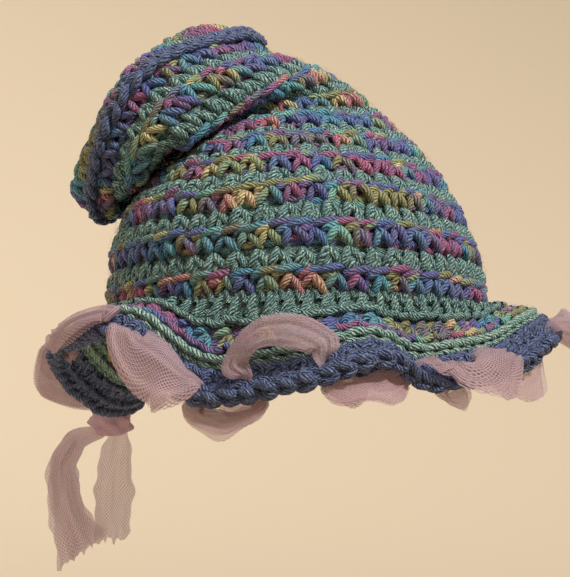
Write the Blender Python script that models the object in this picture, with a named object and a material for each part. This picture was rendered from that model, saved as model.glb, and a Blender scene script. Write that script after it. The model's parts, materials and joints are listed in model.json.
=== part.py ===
"""A crochet hat.

A tall soft crown flops over to the left and ends in a flat round top with a raised
ridge around it. A ruffled brim hangs from the band, and a tulle ribbon is woven in and
out of the eyelets in the brim's border and tied at the back left, with two tails.

The origin is the middle of the head opening at the band. The face side is +Y, the
side that flops over is -X, and +Z is up.
"""

import math

import bmesh
import bpy
import numpy as np

# Crown, measured in the middle of the fabric
CROWN_BREADTH = 0.168  # across the band, ear to ear
CROWN_DEPTH = 0.190  # along the band, face side to nape
CROWN_HEIGHT = 0.129  # from the band to the highest point of the top's edge
TOP_DOME = 0.015  # how far the round top swells past its own edge
FABRIC = 0.005  # thickness of the crochet

# Ridge of slip stitches around the top
RIDGE_DIAMETER = 0.0056

# Brim
BRIM_WIDTH = 0.042  # from the band to the edge, along the fabric
BORDER_WIDTH = 0.016  # the part of the brim in the border's yarn
EYELET_LENGTH = 0.0062  # along the edge
EYELET_WIDTH = 0.0078  # across the border
EYELET_TO_EDGE = 0.0036  # fabric left between an eyelet and the edge

# Tulle ribbon, its knot and its tails
RIBBON_PINCH = 0.0050  # where it is gathered to pass through an eyelet
RIBBON_THICKNESS = 0.001
RIBBON_ROOM = 0.0010  # between the ribbon and the fabric that it passes over
RIBBON_OPENING = 0.25  # how fast it opens past an eyelet, the lower the faster
RIBBON_DROOP = 0.8  # how far it droops for each length that it reaches past the edge
KNOT_LENGTH = 0.018
KNOT_BREADTH = 0.012
KNOT_HEIGHT = 0.014
LONG_TAIL = 0.058
SHORT_TAIL = 0.054
TAIL_WIDTH = 0.019

GAP = 0.0003  # clearance between pieces that touch

# Eight guide lines climb the crown. Each row: azimuth in degrees, the points from the
# band to the crease, and the points from there to the edge of the top. A point holds
# shares of half the breadth, half the depth and the height. Azimuth 0 is the right.
CROWN_GUIDES = (
    (0,
     ((1.00, 0.00, 0.00), (0.99, 0.00, 0.12), (0.94, 0.00, 0.23), (0.87, 0.00, 0.345),
      (0.765, 0.00, 0.47), (0.63, 0.00, 0.58), (0.48, 0.00, 0.675)),
     ((0.315, 0.00, 0.775), (0.15, 0.00, 0.845), (-0.02, 0.00, 0.89), (-0.165, 0.00, 0.925),
      (-0.275, 0.00, 0.975))),
    (45,
     ((0.705, 0.705, 0.00), (0.70, 0.70, 0.12), (0.65, 0.66, 0.245), (0.56, 0.595, 0.375),
      (0.445, 0.52, 0.49), (0.305, 0.44, 0.595), (0.165, 0.37, 0.675)),
     ((0.06, 0.36, 0.72), (-0.03, 0.40, 0.765), (-0.11, 0.43, 0.82), (-0.175, 0.39, 0.875),
      (-0.27, 0.345, 0.935))),
    (90,
     ((0.00, 1.00, 0.00), (0.00, 1.00, 0.13), (-0.025, 0.96, 0.265), (-0.07, 0.865, 0.39),
      (-0.13, 0.76, 0.475), (-0.19, 0.62, 0.55), (-0.25, 0.485, 0.615)),
     ((-0.275, 0.43, 0.665), (-0.335, 0.46, 0.69), (-0.39, 0.545, 0.65), (-0.43, 0.61, 0.62),
      (-0.45, 0.60, 0.67), (-0.475, 0.525, 0.715), (-0.53, 0.48, 0.76))),
    (135,
     ((-0.705, 0.705, -0.015), (-0.705, 0.705, 0.13), (-0.68, 0.675, 0.265),
      (-0.62, 0.60, 0.37), (-0.535, 0.505, 0.465), (-0.45, 0.40, 0.545), (-0.395, 0.305, 0.605)),
     ((-0.415, 0.24, 0.66), (-0.51, 0.265, 0.675), (-0.62, 0.325, 0.62), (-0.705, 0.38, 0.54),
      (-0.76, 0.38, 0.475), (-0.805, 0.355, 0.465), (-0.86, 0.33, 0.505))),
    (180,
     ((-1.01, 0.00, -0.025), (-1.00, 0.00, 0.13), (-0.965, 0.00, 0.265), (-0.88, 0.00, 0.37),
      (-0.75, 0.00, 0.465), (-0.595, 0.00, 0.53), (-0.465, 0.00, 0.58)),
     ((-0.395, 0.00, 0.63), (-0.45, 0.00, 0.665), (-0.55, 0.00, 0.635), (-0.655, 0.00, 0.59),
      (-0.795, 0.00, 0.53), (-0.915, 0.00, 0.455), (-0.985, 0.00, 0.375), (-1.01, 0.00, 0.345),
      (-1.06, 0.00, 0.36))),
    (225,
     ((-0.705, -0.705, -0.015), (-0.705, -0.705, 0.13), (-0.685, -0.685, 0.255),
      (-0.645, -0.625, 0.365), (-0.57, -0.535, 0.455), (-0.475, -0.42, 0.535),
      (-0.43, -0.36, 0.575)),
     ((-0.44, -0.295, 0.63), (-0.525, -0.325, 0.645), (-0.64, -0.38, 0.59), (-0.74, -0.42, 0.50),
      (-0.815, -0.425, 0.425), (-0.91, -0.405, 0.41), (-0.985, -0.36, 0.43),
      (-1.035, -0.325, 0.475))),
    (270,
     ((0.00, -1.00, 0.00), (0.00, -1.00, 0.13), (-0.035, -0.96, 0.265), (-0.105, -0.865, 0.39),
      (-0.20, -0.735, 0.475), (-0.31, -0.59, 0.545), (-0.345, -0.455, 0.595)),
     ((-0.405, -0.41, 0.645), (-0.475, -0.485, 0.61), (-0.52, -0.59, 0.545), (-0.60, -0.63, 0.58),
      (-0.71, -0.59, 0.655), (-0.815, -0.485, 0.735))),
    (315,
     ((0.705, -0.705, 0.00), (0.70, -0.70, 0.12), (0.65, -0.66, 0.245), (0.56, -0.59, 0.37),
      (0.43, -0.51, 0.485), (0.29, -0.435, 0.58), (0.14, -0.37, 0.65), (0.06, -0.285, 0.70)),
     ((-0.025, -0.305, 0.735), (-0.085, -0.40, 0.73), (-0.155, -0.455, 0.75),
      (-0.285, -0.45, 0.805), (-0.395, -0.40, 0.845), (-0.475, -0.325, 0.89))),
)

# Crochet rounds of the crown. Its pieces from the band up, each with the rounds at which
# its mesh has a row of points. The rows are closest where the crease folds the fabric.
ROUNDS = 19
CREASE_ROUND = 11
CROWN_RINGS = (
    ("crown_side", (0, 3, 6)),
    ("crown_shoulder", (6, 8, 9.5)),
    ("crown_flop", (9.5, 10.5, 11, 11.5, 12.3, 13.2, 14.2, 15.4, 16.7, 18, 19)),
)
CROWN_COLUMNS = 40
TOP_ROWS = (1.0, 0.93, 0.82, 0.62, 0.30)  # shares of the way from the middle to the edge

# Pouches of the soft top, which sags past its edge at both ends. Each row: azimuth in
# degrees, and as shares of the dome's height, how much further the top swells there and
# how far it spreads outward.
TOP_POUCHES = (
    (0, 0.55, 0.05), (30, 0.40, 0.00), (70, 0.00, 0.00), (110, 0.00, 0.10), (150, 0.20, 0.45),
    (180, 0.25, 0.75), (208, 0.10, 0.60), (230, 0.00, 0.20), (250, 0.00, 0.00), (300, 0.15, 0.00),
    (330, 0.40, 0.00),
)

# Folds of the ruffle. Each row: azimuth in degrees; how far the edge stands out and how
# far it hangs, as shares of the brim's width; and the flare, which is above nothing where
# the fabric stands out at the band and droops at the edge, and below nothing where it
# hangs first and flares at the edge.
BRIM_FOLDS = (
    (5, 0.77, 0.28, 1.3), (22, 0.55, 0.68, -0.3), (42, 0.80, 0.38, 0.2), (64, 0.50, 0.78, -0.6),
    (86, 0.78, 0.40, 0.2), (108, 0.50, 0.78, -0.6), (128, 0.70, 0.62, 0.0), (142, 0.48, 0.97, -0.6),
    (155, 0.38, 1.03, -0.8), (167, 0.34, 0.98, -0.8), (180, 0.52, 0.75, -0.2), (196, 0.62, 0.43, 0.4),
    (209, 0.58, 0.38, 0.5), (222, 0.66, 0.36, 0.5), (230, 0.62, 0.42, 0.2), (239, 0.50, 0.84, -0.4),
    (250, 0.42, 1.02, -0.9), (262, 0.50, 0.97, -0.9), (277, 0.66, 0.82, -0.9), (289, 0.66, 0.69, -0.8),
    (299, 0.48, 0.88, -0.8), (307, 0.56, 0.86, -0.8), (315, 0.54, 0.83, -0.6), (325, 0.58, 0.76, -0.5),
    (335, 0.64, 0.62, -0.3), (345, 0.73, 0.44, 0.5), (354, 0.77, 0.32, 1.2),
)
FLARE = 0.65  # how strongly a full flare bends the fabric
RUFFLE_ROWS = (1.0, 0.66, 0.33, 0.0)  # shares of the way from the band to the border

# Stretches of the ribbon. Each row: azimuth in degrees of the eyelet where it starts; +1 over
# the border or -1 under it; and the places that it passes on its way to the next eyelet. A
# place holds the azimuth, the share of the brim's width, and in millimetres how far the
# ribbon puffs off the fabric and how wide it opens.
RIBBON_STRETCHES = (
    (8, -1, ((15, 0.98, 3, 16),)), (22, 1, ((30, 0.74, 6, 20),)), (38, -1, ((45, 0.98, 3, 18),)),
    (52, 1, ((60, 0.74, 6, 20),)), (68, -1, ((75.5, 0.98, 3, 18),)), (83, 1, ((90.5, 0.74, 6, 20),)),
    (98, -1, ((105.5, 0.98, 3, 18),)), (113, 1, ((120.5, 0.74, 6, 20),)),
    (128, -1, ((133, 0.96, 3, 14),)), (138, 1, ((143, 0.80, 5, 14),)),
    (149, 1, ((156, 0.94, 2, 13), (167, 1.00, 3, 16), (178, 1.04, 4, 18), (187, 1.02, 3, 16))),
    (193, -1, ((196.2, 0.86, 1, 8),)),
    (199.5, 1, ((205, 0.94, 1, 16), (211, 0.92, 1, 18), (218, 0.88, 1, 20), (226, 0.80, 1, 17))),
    (224.5, -1, ((227.7, 0.86, 1, 8),)),
    (231, 1, ((233, 1.02, 3, 22), (237, 0.99, 4, 23), (241.5, 0.97, 4, 23), (245, 0.94, 3, 20))),
    (248, -1, ((246, 0.96, 2, 8), (249, 0.98, 3, 9), (253, 1.00, 4, 10), (257.5, 0.99, 3, 9),
               (260.5, 0.97, 2, 8))),
    (260, 1, ((257.2, 0.70, 5, 13), (259.5, 0.50, 7, 13), (266, 0.41, 8, 13), (272.5, 0.53, 8, 15),
              (276.6, 0.74, 6, 15))),
    (275.5, -1, ((277, 0.96, 2, 12), (281, 0.98, 3, 13), (287, 0.98, 4, 15), (293, 0.95, 3, 14))),
    (296, 1, ((301.5, 0.90, 3, 14),)),
    (304.5, -1, ((304.8, 0.94, 2, 8), (307.2, 0.96, 3, 9), (309.8, 0.94, 2, 8))),
    (310, 1, ((308.3, 1.00, 3, 22), (311, 1.05, 4, 25), (316, 1.01, 4, 23), (321.5, 0.94, 4, 17))),
    (327, -1, ((328, 0.97, 2, 12), (332, 0.99, 3, 15), (338.5, 1.00, 3, 16), (346, 1.00, 3, 14))),
    (350, 1, ((354, 0.94, 4, 12), (360, 0.94, 5, 14), (365, 0.93, 4, 12))),
)
PUFF_ROWS = (0.16, 0.32, 0.50, 0.68, 0.84)  # shares of the way from one eyelet to the next
RIBBON_RISE = 0.0016  # how far along the edge the ribbon takes to clear the fabric
KNOT_STRETCH = 10  # the knot is tied at the eyelet where this stretch starts

# Tails, from the knot down. Each row: shares of the tail's length to the left, to the
# back and down, and the width as a share of the full width.
LONG_TAIL_ROWS = (
    (0.00, 0.00, 0.00, 0.35), (0.16, 0.02, 0.03, 0.48), (0.30, 0.02, 0.10, 0.60),
    (0.36, 0.00, 0.24, 0.68), (0.33, -0.02, 0.42, 0.78), (0.28, 0.00, 0.62, 0.88),
    (0.22, 0.03, 0.82, 0.98), (0.17, 0.05, 1.00, 1.08),
)
SHORT_TAIL_ROWS = (
    (0.00, 0.00, 0.00, 0.35), (0.02, 0.03, 0.14, 0.65), (0.05, 0.05, 0.32, 0.86),
    (0.06, 0.05, 0.50, 0.88), (0.06, 0.03, 0.68, 0.78), (0.07, 0.03, 0.84, 0.66),
    (0.08, 0.04, 1.00, 0.58),
)

# Finishes. Each row: the node, its colour as red, green and blue, and its roughness.
FINISHES = {
    "crown_side": ((0.22, 0.40, 0.38), 0.85),
    "crown_shoulder": ((0.22, 0.38, 0.38), 0.85),
    "crown_flop": ((0.22, 0.36, 0.38), 0.85),
    "crown_top": ((0.30, 0.28, 0.40), 0.85),
    "top_ridge": ((0.15, 0.18, 0.33), 0.85),
    "brim_ruffle": ((0.24, 0.44, 0.36), 0.85),
    "brim_border": ((0.14, 0.19, 0.40), 0.85),
    "tulle_ribbon": ((0.60, 0.37, 0.40), 0.70),
    "ribbon_knot": ((0.55, 0.33, 0.37), 0.70),
    "ribbon_tail_long": ((0.60, 0.37, 0.40), 0.70),
    "ribbon_tail_short": ((0.60, 0.37, 0.40), 0.70),
}

BORDER_START = 1.0 - BORDER_WIDTH / BRIM_WIDTH
EYELET_END = 1.0 - EYELET_TO_EDGE / BRIM_WIDTH
EYELET_START = EYELET_END - EYELET_WIDTH / BRIM_WIDTH
EYELET_MIDDLE = (EYELET_START + EYELET_END) / 2
STEP = 1e-3  # the share by which the surfaces are stepped to find their directions


def unit(vectors):
    """Each vector at length one."""
    return vectors / np.linalg.norm(vectors, axis=-1, keepdims=True)


def smooth(knots, values, at):
    """A natural cubic spline through rows of values, read at the given places."""
    knots, values, at = (np.asarray(item, float) for item in (knots, values, at))
    spans = np.diff(knots)
    slopes = np.diff(values, axis=0) / spans[:, None]
    count = len(knots)
    matrix = np.eye(count)
    bends = np.zeros_like(values)
    for row in range(1, count - 1):
        matrix[row, row - 1 : row + 2] = spans[row - 1], 2 * (spans[row - 1] + spans[row]), spans[row]
        bends[row] = 6 * (slopes[row] - slopes[row - 1])
    bends = np.linalg.solve(matrix, bends)
    left = np.clip(np.searchsorted(knots, at, side="right") - 1, 0, count - 2)
    span = spans[left][:, None]
    ahead = (at - knots[left])[:, None] / span
    behind = 1 - ahead
    bend = (behind**3 - behind) * bends[left] + (ahead**3 - ahead) * bends[left + 1]
    return behind * values[left] + ahead * values[left + 1] + bend * span**2 / 6


def around(azimuths, values, at):
    """A closed smooth curve through rows of values given by azimuth, in degrees."""
    azimuths, values = np.asarray(azimuths, float), np.asarray(values, float)
    turns = np.concatenate([azimuths - 360, azimuths, azimuths + 360])
    return smooth(turns, np.concatenate([values] * 3), np.asarray(at, float) % 360)


def along(points, shares):
    """Points at shares of the length of a smooth curve through the given points."""
    points = np.asarray(points, float)
    knots = np.concatenate([[0], np.cumsum(np.linalg.norm(np.diff(points, axis=0), axis=1))])
    fine = smooth(knots, points, np.linspace(0, knots[-1], 200))
    lengths = np.concatenate([[0], np.cumsum(np.linalg.norm(np.diff(fine, axis=0), axis=1))])
    wanted = np.asarray(shares) * lengths[-1]
    return np.stack([np.interp(wanted, lengths, fine[:, axis]) for axis in range(3)], axis=1)


def guide_points(below, above, rounds):
    """Points of one crown guide at the given rounds, evenly spaced on each side of the crease."""
    scale = np.array([CROWN_BREADTH / 2, CROWN_DEPTH / 2, CROWN_HEIGHT])
    points = np.array(below + above) * scale
    knots = np.concatenate([[0], np.cumsum(np.linalg.norm(np.diff(points, axis=0), axis=1))])
    total = knots[-1]
    crease = knots[len(below) - 1]
    rounds = np.asarray(rounds, float)
    share_below = rounds / CREASE_ROUND * crease
    share_above = crease + (rounds - CREASE_ROUND) / (ROUNDS - CREASE_ROUND) * (total - crease)
    return along(points, np.where(rounds <= CREASE_ROUND, share_below, share_above) / total)


def crown_points(azimuths, rounds):
    """The middle of the crown's fabric, as a grid of rounds by azimuths."""
    guides = [guide_points(below, above, rounds) for _, below, above in CROWN_GUIDES]
    places = [azimuth for azimuth, _, _ in CROWN_GUIDES]
    rows = [around(places, [guide[row] for guide in guides], azimuths) for row in range(len(rounds))]
    return np.array(rows)


def crown_directions(azimuths, rounds):
    """The crown's outward normals and its climbing directions on the same grid."""
    azimuths, rounds = np.asarray(azimuths, float), np.asarray(rounds, float)
    turn = crown_points(azimuths + 1, rounds) - crown_points(azimuths - 1, rounds)
    low, high = np.maximum(rounds - 0.1, 0), np.minimum(rounds + 0.1, ROUNDS)
    climb = crown_points(azimuths, high) - crown_points(azimuths, low)
    return unit(np.cross(turn, climb)), unit(climb)


def band_directions(azimuths):
    """The level directions that point out from the band."""
    normals, _ = crown_directions(azimuths, [0])
    level = normals[0] * np.array([1, 1, 0])
    return unit(level)


def brim_points(azimuths, shares):
    """The middle of the brim's fabric at pairs of azimuth and share of its width."""
    azimuths, shares = np.asarray(azimuths, float), np.asarray(shares, float)
    places = [row[0] for row in BRIM_FOLDS]
    folds = around(places, [row[1:] for row in BRIM_FOLDS], azimuths)
    bend = FLARE * folds[:, 2] * shares * (1 - shares)
    outward = folds[:, 0] * (shares + bend)
    hang = folds[:, 1] * (shares - bend)
    base = crown_points(azimuths, [0])[0]
    move = outward[:, None] * band_directions(azimuths) - hang[:, None] * np.array([0, 0, 1])
    return base + move * BRIM_WIDTH


def brim_normals(azimuths, shares):
    """The normals of the brim's upper face, level at the band so that it meets the crown."""
    azimuths, shares = np.asarray(azimuths, float), np.asarray(shares, float)
    turn = brim_points(azimuths + 0.5, shares) - brim_points(azimuths - 0.5, shares)
    down = brim_points(azimuths, shares + STEP) - brim_points(azimuths, shares - STEP)
    free = unit(np.cross(down, turn))
    blend = np.clip(shares / 0.2, 0, 1)[:, None]
    return unit(band_directions(azimuths) * (1 - blend) + free * blend)


def brim_place(azimuths, shares, offsets):
    """Points that stand off the middle of the brim's fabric."""
    return brim_points(azimuths, shares) + brim_normals(azimuths, shares) * np.asarray(offsets)[:, None]


def brim_grid(azimuths, shares):
    """The brim's middle points and normals, as grids of shares by azimuths."""
    rows = [np.full(len(azimuths), share) for share in shares]
    points = np.array([brim_points(azimuths, row) for row in rows])
    normals = np.array([brim_normals(azimuths, row) for row in rows])
    return points, normals


def material(name):
    """The piece's own finish."""
    colour, roughness = FINISHES[name]
    finish = bpy.data.materials.new(name)
    finish.use_nodes = True
    shader = finish.node_tree.nodes["Principled BSDF"]
    shader.inputs["Base Color"].default_value = (*colour, 1)
    shader.inputs["Roughness"].default_value = roughness
    return finish


def add_object(name, data):
    """An object that shows the given mesh or curve in the piece's own finish."""
    data.materials.append(material(name))
    piece = bpy.data.objects.new(name, data)
    bpy.context.collection.objects.link(piece)
    return piece


def add_piece(name, vertices, faces):
    """A smooth-shaded object made of the given points and faces."""
    mesh = bpy.data.meshes.new(name)
    mesh.from_pydata([tuple(point) for point in vertices], [], [tuple(map(int, face)) for face in faces])
    mesh.validate()
    mesh.shade_smooth()
    mesh.set_sharp_from_angle(angle=math.radians(50))
    return add_object(name, mesh)


def ring_walls(outer, inner, holes=()):
    """Faces of a closed wall between two grids of points, each a row by column table of indices.

    The columns close into a ring. A hole is a cell, given by its row and column, that the
    wall leaves open, with its own small walls around it.
    """
    rows, columns = outer.shape
    open_cells = set(holes)
    faces = []
    for row in range(rows - 1):
        for column in range(columns):
            after = (column + 1) % columns
            cell = [(row, column), (row, after), (row + 1, after), (row + 1, column)]
            if (row, column) in open_cells:
                for first, second in zip(cell, cell[1:] + cell[:1]):
                    faces.append((outer[first], outer[second], inner[second], inner[first]))
                continue
            faces.append([outer[place] for place in cell])
            faces.append([inner[place] for place in reversed(cell)])
    for column in range(columns):
        after = (column + 1) % columns
        faces.append((outer[0, after], outer[0, column], inner[0, after]))
        faces.append((outer[0, column], inner[0, column], inner[0, after]))
        faces.append((outer[-1, column], outer[-1, after], inner[-1, after]))
        faces.append((outer[-1, column], inner[-1, after], inner[-1, column]))
    return faces


def fabric_ring(name, points, normals, holes=()):
    """A wall of fabric around a ring, half its thickness on each side of the points."""
    rows, columns = points.shape[:2]
    outer = points + normals * FABRIC / 2
    inner = points - normals * FABRIC / 2
    vertices = np.concatenate([outer.reshape(-1, 3), inner.reshape(-1, 3)])
    numbers = np.arange(rows * columns).reshape(rows, columns)
    return add_piece(name, vertices, ring_walls(numbers, numbers + rows * columns, holes))


def even_azimuths():
    """Azimuths of the crown's columns."""
    return np.arange(CROWN_COLUMNS) * 360 / CROWN_COLUMNS


def add_crown():
    """The crown from the band to the edge of the top, in rings that lie a gap apart."""
    azimuths = even_azimuths()
    for name, rounds in CROWN_RINGS:
        points = crown_points(azimuths, rounds)
        normals, climbs = crown_directions(azimuths, rounds)
        if rounds[0] == 0:
            normals[0] = band_directions(azimuths)
        else:
            points[0] += climbs[0] * GAP / 2
        if rounds[-1] < ROUNDS:
            points[-1] -= climbs[-1] * GAP / 2
        fabric_ring(name, points, normals)


def top_edge(clearance):
    """The ring just past the crown's end, its outward normals and its climbing directions."""
    azimuths = even_azimuths()
    normals, climbs = crown_directions(azimuths, [ROUNDS])
    ring = crown_points(azimuths, [ROUNDS])[0]
    return ring + climbs[0] * clearance, normals[0], climbs[0]


def add_crown_top():
    """The round top: a shallow dome whose edge lies on the crown's end."""
    edge, _, climbs = top_edge(FABRIC / 2 + 2 * GAP)
    centre = edge.mean(axis=0)
    spokes = edge - centre
    facing = unit(np.cross(spokes, np.roll(spokes, -1, axis=0)).sum(axis=0))
    shares = np.array(TOP_ROWS)
    pouches = around([row[0] for row in TOP_POUCHES], [row[1:] for row in TOP_POUCHES], even_azimuths())
    swells = pouches[:, :1] * facing + pouches[:, 1:] * unit(spokes)

    def dome(share):
        """Middle of the fabric at a share of the way from the middle to the edge."""
        pouch = 12 * share**4 * (1 - share)
        return centre + spokes * share + TOP_DOME * (facing * (1 - share**5) + swells * pouch)

    rows = np.array([dome(share) for share in shares])
    normals = []
    for share in shares:
        turn = np.roll(dome(share), -1, axis=0) - np.roll(dome(share), 1, axis=0)
        inward = dome(share - 0.01) - dome(share + 0.01)
        normals.append(unit(np.cross(turn, inward)))
    normals = np.array(normals)
    normals[0] = climbs
    outer, inner = rows + normals * FABRIC / 2, rows - normals * FABRIC / 2
    count, columns = len(shares), len(edge)
    peak = centre + facing * TOP_DOME
    tips = np.array([peak + facing * FABRIC / 2, peak - facing * FABRIC / 2])
    vertices = np.concatenate([outer.reshape(-1, 3), inner.reshape(-1, 3), tips])
    above = np.arange(count * columns).reshape(count, columns)
    below = above + count * columns
    over, under = 2 * count * columns, 2 * count * columns + 1
    faces = []
    for row in range(count - 1):
        for column in range(columns):
            after = (column + 1) % columns
            cell = [(row, column), (row, after), (row + 1, after), (row + 1, column)]
            faces.append([above[place] for place in cell])
            faces.append([below[place] for place in reversed(cell)])
    for column in range(columns):
        after = (column + 1) % columns
        faces.append((above[0, after], above[0, column], below[0, column], below[0, after]))
        faces.append((above[-1, column], above[-1, after], over))
        faces.append((below[-1, after], below[-1, column], under))
    add_piece("crown_top", vertices, faces)


def add_top_ridge():
    """The raised cord of slip stitches that runs around the outside of the top's edge."""
    radius = RIDGE_DIAMETER / 2
    edge, normals, _ = top_edge(0)
    middle = edge + normals * (FABRIC / 2 + radius + GAP)
    cord = bpy.data.curves.new("top_ridge", "CURVE")
    cord.dimensions = "3D"
    cord.bevel_depth = radius
    cord.bevel_resolution = 1
    spline = cord.splines.new("POLY")
    spline.points.add(len(middle) - 1)
    for point, place in zip(spline.points, middle):
        point.co = (*place, 1)
    spline.use_cyclic_u = True
    add_object("top_ridge", cord)


def eyelet_columns():
    """Azimuths of the brim's columns, and the numbers of the columns where an eyelet starts.

    Each eyelet lies between two columns of its own, and the fabric between two eyelets is
    cut into columns about as far apart as an eyelet is long.
    """
    eyelets = [row[0] for row in RIBBON_STRETCHES]
    eyelets.sort()
    halves = []
    for azimuth in eyelets:
        ends = brim_points(np.array([azimuth - 0.5, azimuth + 0.5]), np.full(2, EYELET_MIDDLE))
        halves.append(EYELET_LENGTH / 2 / np.linalg.norm(ends[1] - ends[0]))
    columns, starts = [], []
    for number, azimuth in enumerate(eyelets):
        following = eyelets[(number + 1) % len(eyelets)]
        end = azimuth + halves[number]
        room = (following - azimuth) % 360 - halves[number] - halves[(number + 1) % len(eyelets)]
        pieces = max(1, round(room / (3 * halves[number])))
        starts.append(len(columns))
        columns.append(azimuth - halves[number])
        columns += [end + room * step / pieces for step in range(pieces)]
    return np.array(columns), starts


def add_brim():
    """The ruffle that hangs from the band, and the border with its eyelets."""
    azimuths, starts = eyelet_columns()
    seam = GAP / 2 / BRIM_WIDTH
    points, normals = brim_grid(azimuths, np.array(RUFFLE_ROWS) * (BORDER_START - seam))
    points[-1] -= np.array([0, 0, GAP])
    fabric_ring("brim_ruffle", points, normals)
    points, normals = brim_grid(azimuths, [1.0, EYELET_END, EYELET_START, BORDER_START + seam])
    fabric_ring("brim_border", points, normals, [(1, start) for start in starts])


def stretch_stations(row, following):
    """Stations of one stretch of ribbon, from its own eyelet to just before the next one.

    They are a table of rows along the ribbon by three places across it. Each holds the
    azimuth, the share of the brim's width and the height over the brim.
    """
    start, side, places = row
    end = start + (following - start) % 360
    steps = brim_points(np.linspace(start, end, 30), np.full(30, EYELET_MIDDLE))
    scale = np.linalg.norm(np.diff(steps, axis=0), axis=1).sum() / (end - start)
    first, last = ((azimuth, EYELET_MIDDLE, *places[turn][2:]) for azimuth, turn in ((start, 0), (end, -1)))
    table = np.array([first, *places, last]) * (scale, BRIM_WIDTH, 0.001, 0.001)
    knots = np.concatenate([[0], np.cumsum(np.linalg.norm(np.diff(table[:, :2], axis=0), axis=1))])
    rise = RIBBON_RISE / knots[-1]
    shares = np.array([0, rise / 2, rise, *PUFF_ROWS, 1 - rise, 1 - rise / 2])
    edgeways, downward, puff, width = smooth(knots, table, shares * knots[-1]).T
    run = smooth(knots, table, (shares + STEP) * knots[-1]) - smooth(knots, table, (shares - STEP) * knots[-1])
    clearing = np.minimum(1, np.minimum(shares, 1 - shares) / rise)
    angle = np.arctan2(run[:, 1], run[:, 0]) * clearing**2
    swell = np.sin(math.pi * shares)
    gathered = math.sin(math.pi * rise)
    opened = np.clip((swell - gathered) / (1 - gathered), 0, 1) ** RIBBON_OPENING
    halves = RIBBON_PINCH / 2 + (width - RIBBON_PINCH) / 2 * opened
    clear = FABRIC / 2 + RIBBON_THICKNESS / 2 + RIBBON_ROOM
    heights = side * (clear * clearing + puff * swell**0.8)
    stations = []
    for across in (-1, 0, 1):
        azimuths = (edgeways - across * halves * np.sin(angle)) / scale
        stations.append((azimuths, (downward + across * halves * np.cos(angle)) / BRIM_WIDTH, heights))
    return np.transpose(stations, (2, 0, 1))


def strip(points, closed):
    """Vertices and faces of a thin strip around a row by station grid of points."""
    rows, stations = points.shape[:2]
    if closed:
        run = np.roll(points, -1, axis=0) - np.roll(points, 1, axis=0)
    else:
        run = np.gradient(points, axis=0)
    normals = unit(np.cross(run, np.gradient(points, axis=1)))
    over = points + normals * RIBBON_THICKNESS / 2
    under = points - normals * RIBBON_THICKNESS / 2
    section = np.concatenate([over, under[:, ::-1]], axis=1)
    around_section = 2 * stations
    faces = []
    for row in range(rows if closed else rows - 1):
        after = (row + 1) % rows
        for corner in range(around_section):
            following = (corner + 1) % around_section
            faces.append((row * around_section + corner, after * around_section + corner,
                          after * around_section + following, row * around_section + following))
    if not closed:
        last = (rows - 1) * around_section
        for station in range(stations - 1):
            opposite = around_section - 1 - station
            faces.append((station, station + 1, opposite - 1, opposite))
            faces.append((last + opposite, last + opposite - 1, last + station + 1, last + station))
    return section.reshape(-1, 3), faces


def add_ribbon():
    """The tulle ribbon, a closed ring that passes through every eyelet."""
    stretches = []
    for number, row in enumerate(RIBBON_STRETCHES):
        stretches.append(stretch_stations(row, RIBBON_STRETCHES[(number + 1) % len(RIBBON_STRETCHES)][0]))
    stations = np.concatenate(stretches)
    points = brim_place(*stations.reshape(-1, 3).T).reshape(stations.shape)
    points[..., 2] -= RIBBON_DROOP * np.maximum(0, stations[..., 1] - 1) * BRIM_WIDTH
    vertices, faces = strip(points, closed=True)
    add_piece("tulle_ribbon", vertices, faces)


def knot_middle():
    """The middle of the knot, which hangs just past the edge of the border."""
    azimuth = np.array([RIBBON_STRETCHES[KNOT_STRETCH][0]])
    edge, past = brim_points(azimuth, np.array([1.0])), brim_points(azimuth, np.array([1.0 + STEP]))
    return (edge + unit(past - edge) * (KNOT_HEIGHT / 2 + 4 * GAP))[0]


def add_knot():
    """The knot that ties the ribbon's ends together."""
    mesh = bpy.data.meshes.new("ribbon_knot")
    ball = bmesh.new()
    bmesh.ops.create_uvsphere(ball, u_segments=10, v_segments=5, radius=0.5)
    bmesh.ops.scale(ball, vec=(KNOT_LENGTH, KNOT_BREADTH, KNOT_HEIGHT), verts=ball.verts)
    bmesh.ops.translate(ball, vec=tuple(knot_middle()), verts=ball.verts)
    ball.to_mesh(mesh)
    ball.free()
    mesh.shade_smooth()
    add_object("ribbon_knot", mesh)


def add_tail(name, length, table, start):
    """A tail of the ribbon that hangs from the knot."""
    rows = np.array(table)
    path = start + rows[:, :3] * np.array([-1, 1, -1]) * length
    across = np.array([1, 0.25, 0])
    across = across / np.linalg.norm(across)
    halves = rows[:, 3] * TAIL_WIDTH / 2
    stations = [path + side * halves[:, None] * across for side in (-1, 0, 1)]
    stations[1] = stations[1] + np.array([0, 0.0015, 0])
    vertices, faces = strip(np.stack(stations, axis=1), closed=False)
    add_piece(name, vertices, faces)


def add_tails():
    """The two tails, one on each side of the bottom of the knot."""
    bottom = knot_middle() - np.array([0, 0, KNOT_HEIGHT / 2 + GAP])
    aside = np.array([KNOT_LENGTH / 4, 0, 0])
    add_tail("ribbon_tail_long", LONG_TAIL, LONG_TAIL_ROWS, bottom - aside)
    add_tail("ribbon_tail_short", SHORT_TAIL, SHORT_TAIL_ROWS, bottom + aside)


def main():
    """Build every piece of the hat."""
    for item in list(bpy.data.objects):
        bpy.data.objects.remove(item, do_unlink=True)
    add_crown()
    add_crown_top()
    add_top_ridge()
    add_brim()
    add_ribbon()
    add_knot()
    add_tails()


main()
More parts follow.
